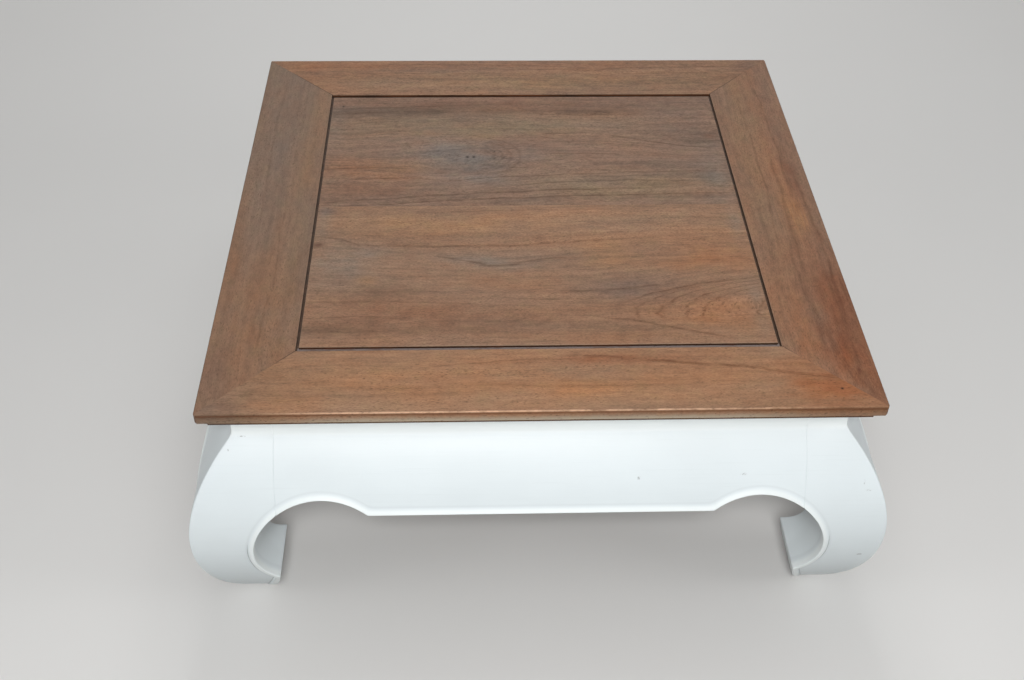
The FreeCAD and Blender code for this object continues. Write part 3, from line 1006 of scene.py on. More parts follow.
class Timber(Surface):
    """Bare worn hardwood. Its growth lines are where `rings` is constant, in millimetres."""

    def __init__(self, name, colours, tone, seed):
        super().__init__(name)
        self.colours = colours
        self.tone = tuple(tone)
        self.seed = seed
        self.point = self.place()
        self.x, self.y, self.z = self.parts(self.point)
        self.depth = TOP_MM - self.z
        self.outward = self.maths("MAXIMUM", abs(self.x), abs(self.y))

    def near(self, patch):
        """1 at the middle of a soft oval patch of the top, falling to 0 outside it."""
        return self.spot(self.point, patch)

    def weighed(self, weights):
        """The sum of the wood's noises, each with its own weight."""
        return sum(getattr(self, name) * weight for name, weight in weights.items())

    def grain(self, along, across, rings, contrast, streaks=STREAKS):
        """Works out the wood's colour from its growth lines, its fibres and its pores."""
        self.along = along
        self.across = across
        ideal = self.vector(along, rings, 0.0)
        drift = self.noise(ideal, DRIFT, self.seed) * DRIFT_REACH
        sway = self.noise(ideal, SWAY, self.seed) * SWAY_REACH
        places = ((FLOWING, self.vector(along, rings + drift + sway, 0.0)),
                  (LEVEL, self.vector(along, across, 0.0)))
        for kinds, place in places:
            for name, kind in kinds.items():
                setattr(self, name, self.noise(place, kind, self.seed))
        light = self.weighed(LIGHTNESS) + self.narrow * streaks
        darkest, lightest = (scaled(self.tone, share) for share in (DARKEST, LIGHTEST))
        self.colour = self.mix(light * contrast + HALF, darkest, lightest)
        self.tint(self.ramp(self.hue, 0.0, HUE_RANGE) * STRONG, ORANGE)
        self.tint(self.ramp(self.hue, 0.0, -HUE_RANGE) * FAINT, BLUE)
        self.tint(self.ramp(self.blotch, 0.0, BLOTCH_RANGE) * FAINT, RED)
        self.tint(self.ramp(self.blotch, 0.0, -BLOTCH_RANGE) * STRONG, OLIVE)
        self.pores = self.rise(self.pore_field + self.broad * 0.3, *PORE_EDGE)

    def tint(self, amount, tint):
        """Multiplies the colour by shares of red, green and blue."""
        self.colour = self.mix(amount, self.colour, tint, "MULTIPLY")

    def stain(self, amount, stain):
        """Covers the wood with a stain."""
        self.colour = self.mix(amount * stain.strength, self.colour, stain.tone)

    def grime_and_shade(self, amount):
        """Grime, as in a groove or along a joint, and painted shade in the hollow under the top's edge.
        """
        self.colour = self.mix(amount, self.colour, tuple(self.colours.grime_and_shade_tone))

    def clouds(self, clouds):
        """Large soft patches with ragged edges, where the wood has another tint."""
        ragged = 1 + self.cloud * 3
        for cloud in clouds:
            self.tint(self.near(cloud) * ragged * cloud.strength, cloud.tint)

    def veins(self, veins):
        """Thin dark growth lines, each a shallow arc along the grain."""
        level = self.across + self.wander * WANDER_REACH
        marks = 0.0
        for vein in veins:
            half = (vein.end - vein.start) / 2
            share = (self.along - (vein.start + half)) / half
            climb = (vein.end_across - vein.across) / 2
            middle = vein.across + climb + vein.bow
            off = (level - (share * -vein.bow + climb) * share - middle) / vein.thickness
            ends = (share * share) ** 4
            marks = self.maths("MAXIMUM", marks, self.bell(off * off + ends) * vein.strength)
        self.tint(marks * self.ramp(self.breaks, *BREAK_EDGE) * VEIN_SHADE, VEIN_TINT)

    def freckles(self, patches):
        """Places where dark pores lie close together."""
        for patch in patches:
            near = self.near(patch)
            close = self.rise(self.pore_field + near * 0.1, *FRECKLE_EDGE)
            self.grime_and_shade(close * near * FRECKLE_GRIME)

    def holes(self, places, radius):
        """Tiny dark holes, such as a nail or a beetle leaves."""
        for x, y in places:
            self.stain(self.near(Patch(x, y, radius, radius)), HOLE)

    def groove_walls(self, top, inside=1.0):
        """Dark walls and floor in the groove round the panel, a painted shadow by the frame, dust and a
        pale worn rim.
        """
        groove = top.groove_depth / MM
        foot = (groove - 0.3, groove - 0.1)
        floor = (groove + 0.5, groove + 1.5)
        wall = self.between(self.depth, WALL_TOP, foot) * inside
        bottom = self.between(self.depth, foot, floor) * inside
        rim = self.between(self.depth, *RIM)
        from_frame = HALF_OPENING - self.outward
        at_front = self.fall(self.y + HALF_OPENING, *FRONT_GROOVE)
        at_back = self.rise(self.y - HALF_OPENING, *BACK_GROOVE)
        # The groove's floor is stained dark; by the frame, where no dust covers it, this is a painted
        # shadow line.
        self.stain(bottom, GROOVE_FLOOR)
        self.stain(bottom * self.rise(from_frame, *OFF_FRAME), GROOVE_DUST)
        self.stain(bottom * at_front * self.rise(from_frame, *OFF_FRAME_IN_FRONT), FRONT_DUST)
        self.stain(wall, GROOVE_WALL)
        self.stain(wall * at_back * self.ramp(self.cloud, *BACK_WALL_EDGE), BACK_WALL)
        self.stain(wall * self.ramp(self.cloud + self.mottle * HALF, *BROWN_EDGE), BROWN_WALL)
        self.stain(bottom * self.ramp(self.cloud + self.mottle, *BROWN_EDGE), BROWN_FLOOR)
        self.grime_and_shade(self.near(Patch(-203, HALF_OPENING - 3, 17, 5)) * (1 - rim) * BIT_GRIME)
        self.stain(rim * inside, WORN_RIM)

    def close(self):
        """Adds pores, worn roughness and bump."""
        self.grime_and_shade(self.pores * PORE_GRIME)
        bump = self.bump(self.weighed(RELIEF), *WOOD_BUMP)
        sheen = {"Specular IOR Level": 0.1}
        return self.shade(self.colour, self.weighed(WEAR) + WOOD_ROUGHNESS, bump, **sheen)


class Member(Timber):
    """Wood of a rail or stile, with straight grain along X if lengthwise, or else along Y."""

    def __init__(self, name, colours, tone, lengthwise, seed, contrast):
        super().__init__(name, colours, tone, seed)
        along, across = (self.x, self.y) if lengthwise else (self.y, self.x)
        self.grain(along, across, across + self.z * RING_SLOPE, contrast)

    def mitre_lines(self):
        """Grime along the mitres, from the panel's corners until it fades near the top's corners."""
        off_line = abs(abs(self.x) - abs(self.y))
        sides = ((self.y, BACK_MITRE_LONGER), (self.x, -RIGHT_MITRE_SHORTER))
        end = sum(self.rise(place, -1.0, 1.0) * longer for place, longer in sides) + MITRE_END
        past = abs(self.x) + abs(self.y) - end
        line = self.fall(off_line + self.fibres, *MITRE_WIDTH) * self.fall(past, 0.0, MITRE_FADE)
        self.grime_and_shade(line * MITRE_GRIME)

    def outer_edge(self, top):
        """The top's edge: dark under the arris and dusty at its foot, with painted shade in the hollow
        below.
        """
        land = top.edge_land / MM
        past = self.outward - HALF_TOP
        upright = self.rise(past, *OUTER_FACE)
        ragged = self.depth - self.mottle * 4
        shaded = self.rise(self.depth, *EDGE_SHADE_TOP) * self.fall(ragged, *EDGE_SHADE_FOOT)
        dusty = self.rise(ragged, land - 8, land - 1)
        sideways = self.maths("MINIMUM", abs(self.x), abs(self.y))
        at_corner = self.rise(sideways, *TOWARDS_CORNER) * CORNER_SHADE
        self.stain(upright * shaded, EDGE_SHADE)
        self.stain(upright * dusty * (1 - at_corner), EDGE_DUST)
        self.tint(upright * at_corner, DARK)
        # The hollow under the edge is darkened with the grime colour as painted shade.
        hollow = self.rise(past, *HOLLOW) * self.rise(self.depth, land, land + 0.5)
        self.grime_and_shade(hollow * HOLLOW_SHADE)

    def close_joints(self, top):
        """Dark walls, dust and a painted shadow in the groove, grime along the mitres, then the shader.
        """
        self.groove_walls(top, self.fall(self.outward - HALF_OPENING, *PAST_OPENING))
        self.mitre_lines()
        self.outer_edge(top)
        return self.close()


def left_stile_wood(colours, top):
    """Plain grey-brown, with an orange patch and a pale line."""
    wood = Member("left stile wood", colours, colours.left_stile,
                  lengthwise=False, seed=1.3, contrast=0.6)
    wood.clouds((
        Cloud(-322, 170, 24, 170, 0.35, BLUE),
        Cloud(-275, 60, 14, 260, 0.35, GOLD),
        Cloud(-300, -230, 50, 110, 0.8, ORANGE),
        Cloud(-345, -120, 12, 150, 0.5, ORANGE),
        Cloud(-338, -300, 18, 60, 0.6, PLUM),
        Cloud(-288, -290, 24, 24, 0.3, PLUM),
        Cloud(-320, -330, 34, 50, 0.25, PALE),
        Cloud(-340, 335, 30, 30, 0.5, OLIVE),
        Cloud(-270, -150, 12, 60, 0.25, DARK),
    ))
    wood.veins((
        Vein(-260, -300, 40, -296, 5, 1.2, 0.25),
        Vein(-60, -318, 250, -322, -3, 1.4, 0.2),
    ))
    return wood.close_joints(top)


def right_stile_wood(colours, top):
    """Golden streaks halfway, and a red-brown band that sweeps to the front corner."""
    wood = Member("right stile wood", colours, colours.right_stile,
                  lengthwise=False, seed=4.9, contrast=0.85)
    wood.clouds((
        Cloud(332, 210, 13, 150, 0.55, PLUM),
        Cloud(338, -220, 22, 130, 1.2, RED),
        Cloud(310, -238, 22, 80, 0.6, RED),
        Cloud(318, -24, 13, 38, 1.0, GOLD),
        Cloud(284, -236, 20, 76, 0.9, ORANGE),
        Cloud(318, 70, 10, 50, 0.5, ORANGE),
        Cloud(332, 70, 10, 60, 0.6, RED),
        Cloud(282, 20, 16, 120, 0.4, OLIVE),
        Cloud(288, 210, 22, 110, 0.4, OLIVE),
        Cloud(338, -325, 16, 30, 0.4, RED),
        Cloud(322, -305, 22, 40, 0.7, ORANGE),
    ))
    wood.veins((
        Vein(-345, 345, -140, 305, -14, 3.0, 0.28),
        Vein(-330, 330, -90, 300, -10, 1.6, 0.3),
        Vein(-140, 306, 90, 312, 0, 2.2, 0.35),
        Vein(-260, 334, 60, 334, 4, 2.0, 0.4),
        Vein(-100, 286, 250, 292, 5, 1.3, 0.3),
        Vein(20, 322, 300, 318, 3, 1.3, 0.35),
    ))
    wood.stain(wood.near(Patch(331, -296, 2.5, 5)), STILE_SMUDGE)
    streak = wood.near(Patch(318, -26, 15, 24)) * wood.ramp(wood.narrow, 0.02, 0.1)
    wood.tint(streak, GOLD)
    return wood.close_joints(top)


def front_rail_wood(colours, top):
    """Warm orange, with reddish streaks to the right and a bright arris, worn and with a painted
    highlight.
    """
    wood = Member("front rail wood", colours, colours.front_rail,
                  lengthwise=True, seed=8.2, contrast=0.72)
    wood.clouds((
        Cloud(90, -275, 80, 9, 0.9, RED),
        Cloud(-118, -303, 34, 8, 0.5, PLUM),
        Cloud(300, -322, 62, 34, 1.0, ORANGE),
        Cloud(310, -318, 56, 42, 0.9, RED),
        Cloud(-330, -332, 34, 26, 1.0, PLUM),
        Cloud(-300, -310, 60, 34, 0.4, DARK),
        Cloud(-260, -338, 34, 14, 0.7, ORANGE),
        Cloud(-20, -298, 230, 40, 0.45, ORANGE),
        Cloud(-150, -300, 120, 24, 0.25, GOLD),
        Cloud(40, -318, 110, 18, 0.25, GOLD),
    ))
    wood.veins((
        Vein(20, -268, 300, -304, 5, 1.6, 0.6),
        Vein(90, -275, 310, -309, 4, 1.0, 0.6),
        Vein(-120, -284, 110, -272, 3, 1.0, 0.4),
        Vein(-60, -310, 120, -314, -2, 1.6, 0.3),
    ))
    wood.freckles((Patch(-40, -292, 130, 12), Patch(-160, -315, 60, 8), Patch(300, -315, 12, 6)))
    wood.holes(((307, -323),), 1.6)
    # The arris is lightened for wear and as a painted highlight, most along the middle of the rail.
    arris = wood.fall(wood.depth, *ARRIS_FOOT) * wood.fall(wood.y + HALF_TOP, 0.3, 1.8)
    worn = wood.ramp(wood.mottle + wood.broad, *WORN_EDGE)
    handled = 1 - wood.rise(abs(wood.x), *TOWARDS_CORNER) * 0.85
    wood.stain(arris * worn * handled, WORN_ARRIS_AND_HIGHLIGHT)
    return wood.close_joints(top)


def back_rail_wood(colours, top):
    """Straight orange-brown grain."""
    wood = Member("back rail wood", colours, colours.back_rail,
                  lengthwise=True, seed=12.6, contrast=1.05)
    wood.clouds((
        Cloud(-60, 336, 300, 11, 0.35, RED),
        Cloud(-200, 335, 40, 9, 0.6, ORANGE),
        Cloud(-295, 335, 22, 12, 0.5, ORANGE),
        Cloud(325, 318, 30, 36, 0.7, PLUM),
        Cloud(40, 290, 240, 22, 0.6, OLIVE),
        Cloud(110, 340, 60, 8, 0.4, ORANGE),
    ))
    wood.veins((
        Vein(-220, 337, 60, 333, 2, 1.0, 0.4),
        Vein(-90, 325, 160, 328, -2, 1.2, 0.4),
        Vein(-260, 313, 90, 311, 1, 1.0, 0.35),
        Vein(60, 318, 320, 330, 4, 1.2, 0.45),
        Vein(100, 305, 310, 317, 3, 1.0, 0.4),
    ))
    return wood.close_joints(top)


def back_board_wood(colours, top):
    """Grey-brown, with growth lines that flow round a blue-grey swirl."""
    wood = Timber("back board wood", colours, colours.back_board, seed=17.4)
    x, y = wood.x, wood.y
    swirl = Patch(-73, 104, 80, 44)
    # Each of these moves the growth lines by so many millimetres.
    climb = wood.rise(x, -200.0, 90.0) * wood.fall(y, 90.0, 170.0) * 22
    arch = wood.near(Patch(-50, 205, 110, 40)) * 14
    fan = wood.near(Patch(255, 125, 110, 30)) * 26
    round_swirl = (y - swirl.y) * wood.near(swirl) * 0.75
    rings = y - round_swirl - climb - arch + fan + wood.z * RING_SLOPE
    wood.grain(x, y, rings, contrast=1.0, streaks=0.62)
    wood.clouds((
        Cloud(-84, 108, 54, 42, 1.2, BLUE),
        Cloud(-56, 62, 40, 18, 0.7, BLUE),
        Cloud(0, 140, 48, 16, 0.5, PLUM),
        Cloud(5, 110, 16, 12, 0.5, BLUE),
        Cloud(-190, 74, 70, 24, 1.0, ORANGE),
        Cloud(-160, 84, 50, 10, 0.5, GOLD),
        Cloud(-60, 152, 34, 10, 0.5, ORANGE),
        Cloud(-165, 212, 110, 11, 0.9, DARK),
        Cloud(95, 212, 70, 8, 0.75, DARK),
        Cloud(-20, 236, 230, 16, 0.5, RED),
        Cloud(-40, 222, 220, 20, 0.35, DARK),
        Cloud(-60, 178, 190, 28, 0.8, OLIVE),
        Cloud(120, 40, 120, 30, 0.7, OLIVE),
        Cloud(-10, 196, 110, 9, 0.3, PALE),
        Cloud(205, 190, 40, 30, 0.7, PLUM),
        Cloud(210, 140, 46, 14, 0.6, DARK),
        Cloud(241, 152, 10, 7, 0.7, RED),
        Cloud(238, 55, 24, 60, 0.6, BLUE),
        Cloud(-246, 180, 12, 40, 0.35, BLUE),
        Cloud(-60, 16, 160, 14, 0.3, DARK),
        Cloud(-190, 30, 70, 16, 0.3, RED),
        Cloud(110, 52, 100, 10, 0.25, PALE),
    ))
    wood.veins((
        Vein(-254, 8, 157, 36, 4, 1.3, 0.6),
        Vein(-254, -3, 227, 22, 6, 1.3, 0.6),
        Vein(-20, 41, 170, 52, 4, 1.2, 0.4),
        Vein(-122, 50, 255, 71, 6, 1.2, 0.5),
        Vein(-254, 78, -150, 79, 4, 1.8, 0.5),
        Vein(-220, 56, -115, 54, 4, 1.8, 0.5),
        Vein(28, 113, 122, 109, 1, 0.9, 0.6),
        Vein(108, 156, 255, 120, -4, 1.1, 0.6),
        Vein(150, 150, 240, 152, 4, 1.0, 0.45),
        Vein(21, 157, 84, 159, 1, 0.9, 0.5),
        Vein(20, 151, 44, 147, -1, 0.9, 0.5),
        Vein(-254, 220, -70, 228, 1, 0.9, 0.55),
        Vein(-254, 208, -100, 213, 2, 2.4, 0.4),
        Vein(-10, 214, 120, 210, 2, 2.2, 0.4),
        Vein(14, 208, 140, 204, -2, 1.2, 0.55),
        Vein(-60, 88, 4, 82, -4, 1.4, 0.5),
        Vein(-58, 128, -16, 100, -8, 1.6, 0.4),
    ))
    wood.freckles((Patch(70, 206, 70, 6), Patch(-30, 110, 18, 22), Patch(-80, 140, 50, 12)))
    swirl_lines(wood)
    wood.grime_and_shade(wood.near(Patch(249, 139.8, 8, 0.7)) * CRACK_GRIME)
    wood.holes(((-75, 105), (-67, 105)), 2.2)
    wood.holes(((-240, 227),), 1.5)
    wood.holes(((-98, 110), (-40, 118)), 0.9)
    wood.groove_walls(top)
    return wood.close()


SWIRL_CENTRE = (-62, 107)
SWIRL_FLATNESS = 1.25
SWIRL_RADII = (20, 31, 42, 54)


def swirl_lines(wood):
    """Fine growth lines that bend round the swirl's right side."""
    across = wood.x - SWIRL_CENTRE[0]
    climb = (wood.y - SWIRL_CENTRE[1]) * SWIRL_FLATNESS
    ragged = (wood.cloud + wood.mottle) * 500
    spread = across * across + climb * climb + ragged
    right_side = wood.rise(across, 5.0, 30.0)
    for radius in SWIRL_RADII:
        off = (spread - radius * radius) / (4.0 * radius)
        wood.tint(wood.bell(off * off) * right_side * FAINT, VEIN_TINT)


def front_board_wood(colours, top):
    """Orange-brown, with a flame of growth lines that points left at its right end."""
    wood = Timber("front board wood", colours, colours.front_board, seed=23.1)
    x, y = wood.x, wood.y
    # Each of these moves the growth lines by so many millimetres.
    sag = wood.near(Patch(-60, -92, 150, 46)) * 15
    climb = wood.rise(x, 60.0, 250.0) * wood.fall(abs(y + 150), 20.0, 60.0) * 24
    wood.grain(x, y, y + sag - climb + wood.z * RING_SLOPE, contrast=0.92, streaks=0.5)
    wood.clouds((
        Cloud(-130, -38, 110, 22, 0.55, GOLD),
        Cloud(110, -32, 150, 26, 0.8, PALE),
        Cloud(-10, -222, 240, 22, 0.3, DARK),
        Cloud(190, -226, 60, 12, 0.4, PALE),
        Cloud(-248, -30, 10, 30, 0.6, BLUE),
        Cloud(-215, -104, 46, 34, 1.0, BLUE),
        Cloud(-50, -110, 60, 16, 0.7, BLUE),
        Cloud(82, -94, 30, 30, 0.45, GOLD),
        Cloud(-190, -142, 12, 10, 0.6, GOLD),
        Cloud(195, -108, 55, 32, 0.7, ORANGE),
        Cloud(112, -162, 52, 22, 0.9, PLUM),
        Cloud(-175, -162, 50, 14, 0.5, DARK),
        Cloud(-170, -205, 90, 34, 0.5, RED),
        Cloud(-20, -205, 120, 24, 0.3, RED),
        Cloud(185, -212, 76, 26, 0.8, ORANGE),
        Cloud(-215, -225, 50, 8, 0.8, DARK),
        Cloud(244, -190, 9, 40, 0.5, BLUE),
        Cloud(244, -36, 10, 34, 0.6, BLUE),
        Cloud(-242, -7, 14, 12, 0.7, PLUM),
        Cloud(60, -238, 120, 8, 0.3, ORANGE),
    ))
    wood.veins((
        Vein(-254, -60, -200, -79, 4, 1.8, 0.55),
        Vein(-215, -76, 110, -68, -8, 1.9, 0.5),
        Vein(-110, -100, -54, -113, 0, 1.4, 0.6),
        Vein(-66, -113, -14, -112, -3, 1.9, 0.5),
        Vein(-24, -112, 56, -102, 2, 1.6, 0.45),
        Vein(30, -163, 160, -149, -3, 1.6, 0.5),
        Vein(100, -180, 255, -141, 6, 1.5, 0.6),
        Vein(60, -206, 200, -242, 3, 1.6, 0.5),
        Vein(-130, -14, 120, -10, 2, 0.9, 0.35),
        Vein(-254, -178, -60, -186, 3, 1.1, 0.35),
        Vein(-240, -204, -150, -208, 2, 1.2, 0.4),
        Vein(-40, -172, 60, -174, -2, 1.0, 0.35),
    ))
    wood.freckles((
        Patch(100, -68, 26, 5),
        Patch(200, -70, 24, 7),
        Patch(20, -72, 40, 4),
        Patch(-20, -200, 30, 8),
        Patch(150, -30, 60, 20),
    ))
    flame_lines(wood)
    wood.stain(wood.near(Patch(-249, -76, 7, 5)), BOARD_KNOT)
    wood.tint(wood.near(Patch(-40, -1.6, 130, 0.9)) * 0.7, PALE)
    wood.groove_walls(top)
    return wood.close()


FLAME_TIP = (98, -203)
FLAME_OPENING = (29, 15)
FLAME_DEPTHS = (10, 35, 61, 84, 143)
FLAME_LINE = 2.4


def flame_lines(wood):
    """Dotted growth lines that form a flame: nested arches that open to the right."""
    climb = wood.y - FLAME_TIP[1]
    above = wood.maths("MAXIMUM", climb, 0.0)
    below = wood.maths("MINIMUM", climb, 0.0)
    curve = above * above / FLAME_OPENING[0] + below * below / FLAME_OPENING[1]
    ragged = wood.x - FLAME_TIP[0] - curve + wood.cloud * 34 + wood.mottle * 15
    dotted = wood.ramp(wood.fleck + wood.mottle, -0.1, 0.06)
    upper = wood.rise(wood.y, -214.0, -206.0)
    for depth in FLAME_DEPTHS:
        off = (ragged - depth) / FLAME_LINE
        wood.tint(wood.bell(off * off) * upper * dotted * 0.65, VEIN_TINT)


def inner_wood(colours):
    """Planed wood that was never finished, for battens, pins and loose tenons."""
    wood = Timber("inner wood", colours, colours.inner_wood, seed=31.0)
    wood.grain(wood.y, wood.x, wood.x + wood.z, contrast=0.7)
    return wood.close()


# White paint

# Each mark on the front stands upright: x and height of its middle, then half its length and height.
Scuff = namedtuple("Scuff", "x y half_length half_width strength")
SCUFFS = (
    Scuff(-311.8, 242.0, 5.0, 0.8, 0.9),
    Scuff(-326.2, 231.5, 1.6, 2.2, 0.75),
    Scuff(102.3, 202.8, 3.0, 2.6, 0.8),
    Scuff(213.5, 205.2, 4.6, 1.8, 0.8),
    Scuff(343.0, 196.0, 1.8, 5.0, 0.72),
    Scuff(348.0, 187.0, 5.0, 1.8, 0.72),
    Scuff(354.6, 91.5, 4.6, 1.8, 1.1),
)

PAINT_CLOUD = Noise((0.008, 0.008, 0.012), 0, 3.0)
BRUSH_STROKES = Noise((0.012, 0.012, 0.55), 4, 2.0, 0.6)
WEAVE = Noise((0.25, 0.25, 0.3), 2)
RAGGED = Noise((0.7, 0.3, 0.7), 6)

# Shares of the paint's colour, from the brightest to the darkest.
# The brightest share paints highlight on the band under the top and on the lip.
HIGHLIGHT_SHARES = (1.1, 1.08, 1.06)
DULL_SHARE = 0.95
STROKE_SHARE = 0.88
GREY_SHARE = 0.86

# Soft edges in millimetres: beside the crease under the top, up from the floor, out past the top's
# edge, and along Y at the front.
CREASE_EDGE = (-3.0, 3.0)
LOW_GREY_HEIGHT = (20.0, 130.0)
LOW_GREY_FACE = (-30.0, -15.0)
FOOT_HEIGHT = (-4.0, 14.0)
FRONT_FACE = (-300.0, -290.0)

# Soft edges on the lip, as shares of its width from where it begins.
LIP_SHADE_SHARES = ((0.0, 0.1), (0.15, 0.4))
LIP_HIGHLIGHT_SHARES = (0.3, 0.7)
PAINT_ROUGHNESS = 0.42
PAINT_BUMP = (0.3 * MM, 0.35)


def white_paint(colours, base):
    """Cool white brushed paint: painted highlight under the top and on the lip, scuffs and dirty
    creases.
    """
    paint = Surface("white paint")
    point = paint.place()
    x, y, z = paint.parts(point)
    cloud = paint.noise(point, PAINT_CLOUD)
    stroke = paint.noise(point, BRUSH_STROKES)
    weave = paint.noise(point, WEAVE)
    highlight_white = scaled(colours.paint, *HIGHLIGHT_SHARES)
    dull = scaled(colours.paint, DULL_SHARE)
    brushed = scaled(colours.paint, STROKE_SHARE)
    grey = scaled(colours.paint, GREY_SHARE)
    tone = paint.mix(paint.rise(cloud, -0.3, 0.3), dull, tuple(colours.paint))
    tone = paint.mix(paint.rise(stroke, 0.05, 0.3) * 0.25, tone, brushed)
    # Painted highlight: the band above the kink is made brighter.
    tone = paint.mix(paint.rise(z - kink_height(base) / MM, *CREASE_EDGE), tone, highlight_white)
    outward = paint.maths("MAXIMUM", abs(x), abs(y)) - HALF_TOP
    # Greyer low on the legs' outer faces, towards the floor.
    low_grey = paint.fall(z, *LOW_GREY_HEIGHT) * paint.rise(outward, *LOW_GREY_FACE)
    tone = paint.mix(low_grey * 0.6, tone, grey)
    lip = paint.attribute(LIP)
    # Painted shade beside the lip, then painted highlight on it.
    tone = paint.mix(paint.between(lip, *LIP_SHADE_SHARES) * 0.5, tone, grey)
    tone = paint.mix(paint.rise(lip, *LIP_HIGHLIGHT_SHARES), tone, highlight_white)
    marks = sum(paint.spot(point, scuff, upright=True) * scuff.strength for scuff in SCUFFS)
    marks = marks * paint.fall(y, *FRONT_FACE) + paint.noise(point, RAGGED) * 1.6
    worn = paint.rise(marks, 0.55, 0.95) * 0.5
    crease = paint.rise(paint.attribute(CREASE) + weave * 0.25, 0.2, 0.9) * 0.55
    foot = paint.fall(z + cloud * 30, *FOOT_HEIGHT) * 0.35
    dirt = paint.maths("MAXIMUM", paint.maths("MAXIMUM", worn, crease), foot)
    tone = paint.mix(dirt, tone, tuple(colours.paint_dirt))
    height = stroke * 0.7 + weave * 0.2 + cloud * 1.2 - worn
    roughness = PAINT_ROUGHNESS + cloud * 0.1 + dirt * 0.25
    return paint.shade(tone, roughness, paint.bump(height, *PAINT_BUMP))


# Operators

class KANG_OT_top_frame(bpy.types.Operator):
    """Builds the two rails and two stiles of the top"""
    bl_idname = "kang.top_frame"
    bl_label = "Top frame"

    def execute(self, context):
        top = context.scene.kang_top
        colours = context.scene.kang_colours
        members = (
            ("front", "top_front_rail", TOP_LENGTH, front_rail_wood),
            ("back", "top_back_rail", TOP_LENGTH, back_rail_wood),
            ("left", "top_left_stile", TOP_DEPTH, left_stile_wood),
            ("right", "top_right_stile", TOP_DEPTH, right_stile_wood),
        )
        for side, node, member_length, wood in members:
            mesh = member_mesh(top, member_length)
            to_side(mesh, side)
            add_piece(mesh, f"bare_{node}", wood(colours, top), [node])
        return {"FINISHED"}


class KANG_OT_panel(bpy.types.Operator):
    """Builds the two boards of the floating panel and the battens under them"""
    bl_idname = "kang.panel"
    bl_label = "Panel"

    def execute(self, context):
        top = context.scene.kang_top
        colours = context.scene.kang_colours
        for name, wood in (("front", front_board_wood), ("back", back_board_wood)):
            mesh = board_mesh(top, name == "front")
            node = f"panel_{name}_board"
            add_piece(mesh, f"bare_{node}", wood(colours, top), [node])
        bare = inner_wood(colours)
        for name, place in (("left", -BATTEN_PLACE), ("right", BATTEN_PLACE)):
            mesh = batten_mesh(top, place)
            add_piece(mesh, f"bare_{name}_batten", bare, [f"{name}_batten"])
        return {"FINISHED"}


class KANG_OT_legs(bpy.types.Operator):
    """Builds the four painted legs with their turned-in feet"""
    bl_idname = "kang.legs"
    bl_label = "Legs"

    def execute(self, context):
        paint = paint_of(context)
        for depthwise, sideways in CORNERS:
            mesh = leg_mesh(context.scene.kang_base)
            to_corner(mesh, depthwise, sideways)
            node = f"{depthwise}_{sideways}_leg"
            add_piece(mesh, f"painted_{node}", paint, [node], refined=True)
        return {"FINISHED"}


class KANG_OT_aprons(bpy.types.Operator):
    """Builds the four painted aprons"""
    bl_idname = "kang.aprons"
    bl_label = "Aprons"

    def execute(self, context):
        paint = paint_of(context)
        for side in SIDES:
            side_length = TOP_LENGTH if side in ("front", "back") else TOP_DEPTH
            mesh = apron_mesh(context.scene.kang_base, side_length)
            to_side(mesh, side)
            node = f"{side}_apron"
            add_piece(mesh, f"painted_{node}", paint, [node], refined=True)
        return {"FINISHED"}


def paint_of(context):
    """The paint that legs and aprons share, made once."""
    scene = context.scene
    return bpy.data.materials.get("white paint") or white_paint(scene.kang_colours, scene.kang_base)


class KANG_OT_joinery(bpy.types.Operator):
    """Builds the pins and finishes the loose tenons"""
    bl_idname = "kang.joinery"
    bl_label = "Pins and tenons"

    def execute(self, context):
        sizes = context.scene.kang_dowels
        bare = bpy.data.materials.get("inner wood") or inner_wood(context.scene.kang_colours)
        groups = (
            ("mitre_pins", mitre_dowels(sizes)),
            ("front_back_apron_pins", apron_dowels(sizes, ("front", "back"), sizes.front_below_top)),
            ("side_apron_pins", apron_dowels(sizes, ("left", "right"), sizes.side_below_top)),
        )
        for node, mesh in groups:
            add_piece(mesh, f"bare_{node}", bare, [node])
        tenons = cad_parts["loose_tenons"]
        tenons.data.materials.clear()
        tenons.data.materials.append(bare)
        return {"FINISHED"}


# Stage

FLOOR_SIZE = 14.0
WHITE = (1.0, 1.0, 1.0, 1.0)
FLOOR_COLOUR = linear(226, 225, 223)
FLOOR_BOUNCE = linear(150, 147, 143)
FAR_GLOW = linear(176, 175, 173)
FILL_STRENGTH = 0.14
FLOOR_HAZE = Noise((0.004, 0.004, 0.0), 0)
# The floor starts to glow, and glows fully, where the squared distance in metres reaches these.
FLOOR_GLOW_EDGE = (1.8, 9.0)
FLOOR_ROUGHNESS = 0.7
FLOOR_BUMP = (0.1 * MM, 0.05)
LAMPS = (
    # name, place, size, watts
    ("Front lamp", (-0.1, -1.9, 1.9), 0.5, 29.5),
    ("Low lamp", (0.0, -1.3, 0.55), 0.5, 1.5),
    ("Left lamp", (-2.2, -0.9, 1.3), 0.9, 7.0),
    ("Right lamp", (2.2, -0.9, 1.3), 0.9, 10.0),
    ("Back lamp", (0.0, 2.4, 2.2), 0.9, 26.0),
    ("Top lamp", (0.3, 0.6, 2.6), 1.6, 6.0),
)
CAMERA_PLACE = (-0.0739, -1.2306, 1.1863)
CAMERA_TURNS = (("X", 41.9), ("Y", 0.86), ("Z", 1.81))
CAMERA_LENS = 43.88


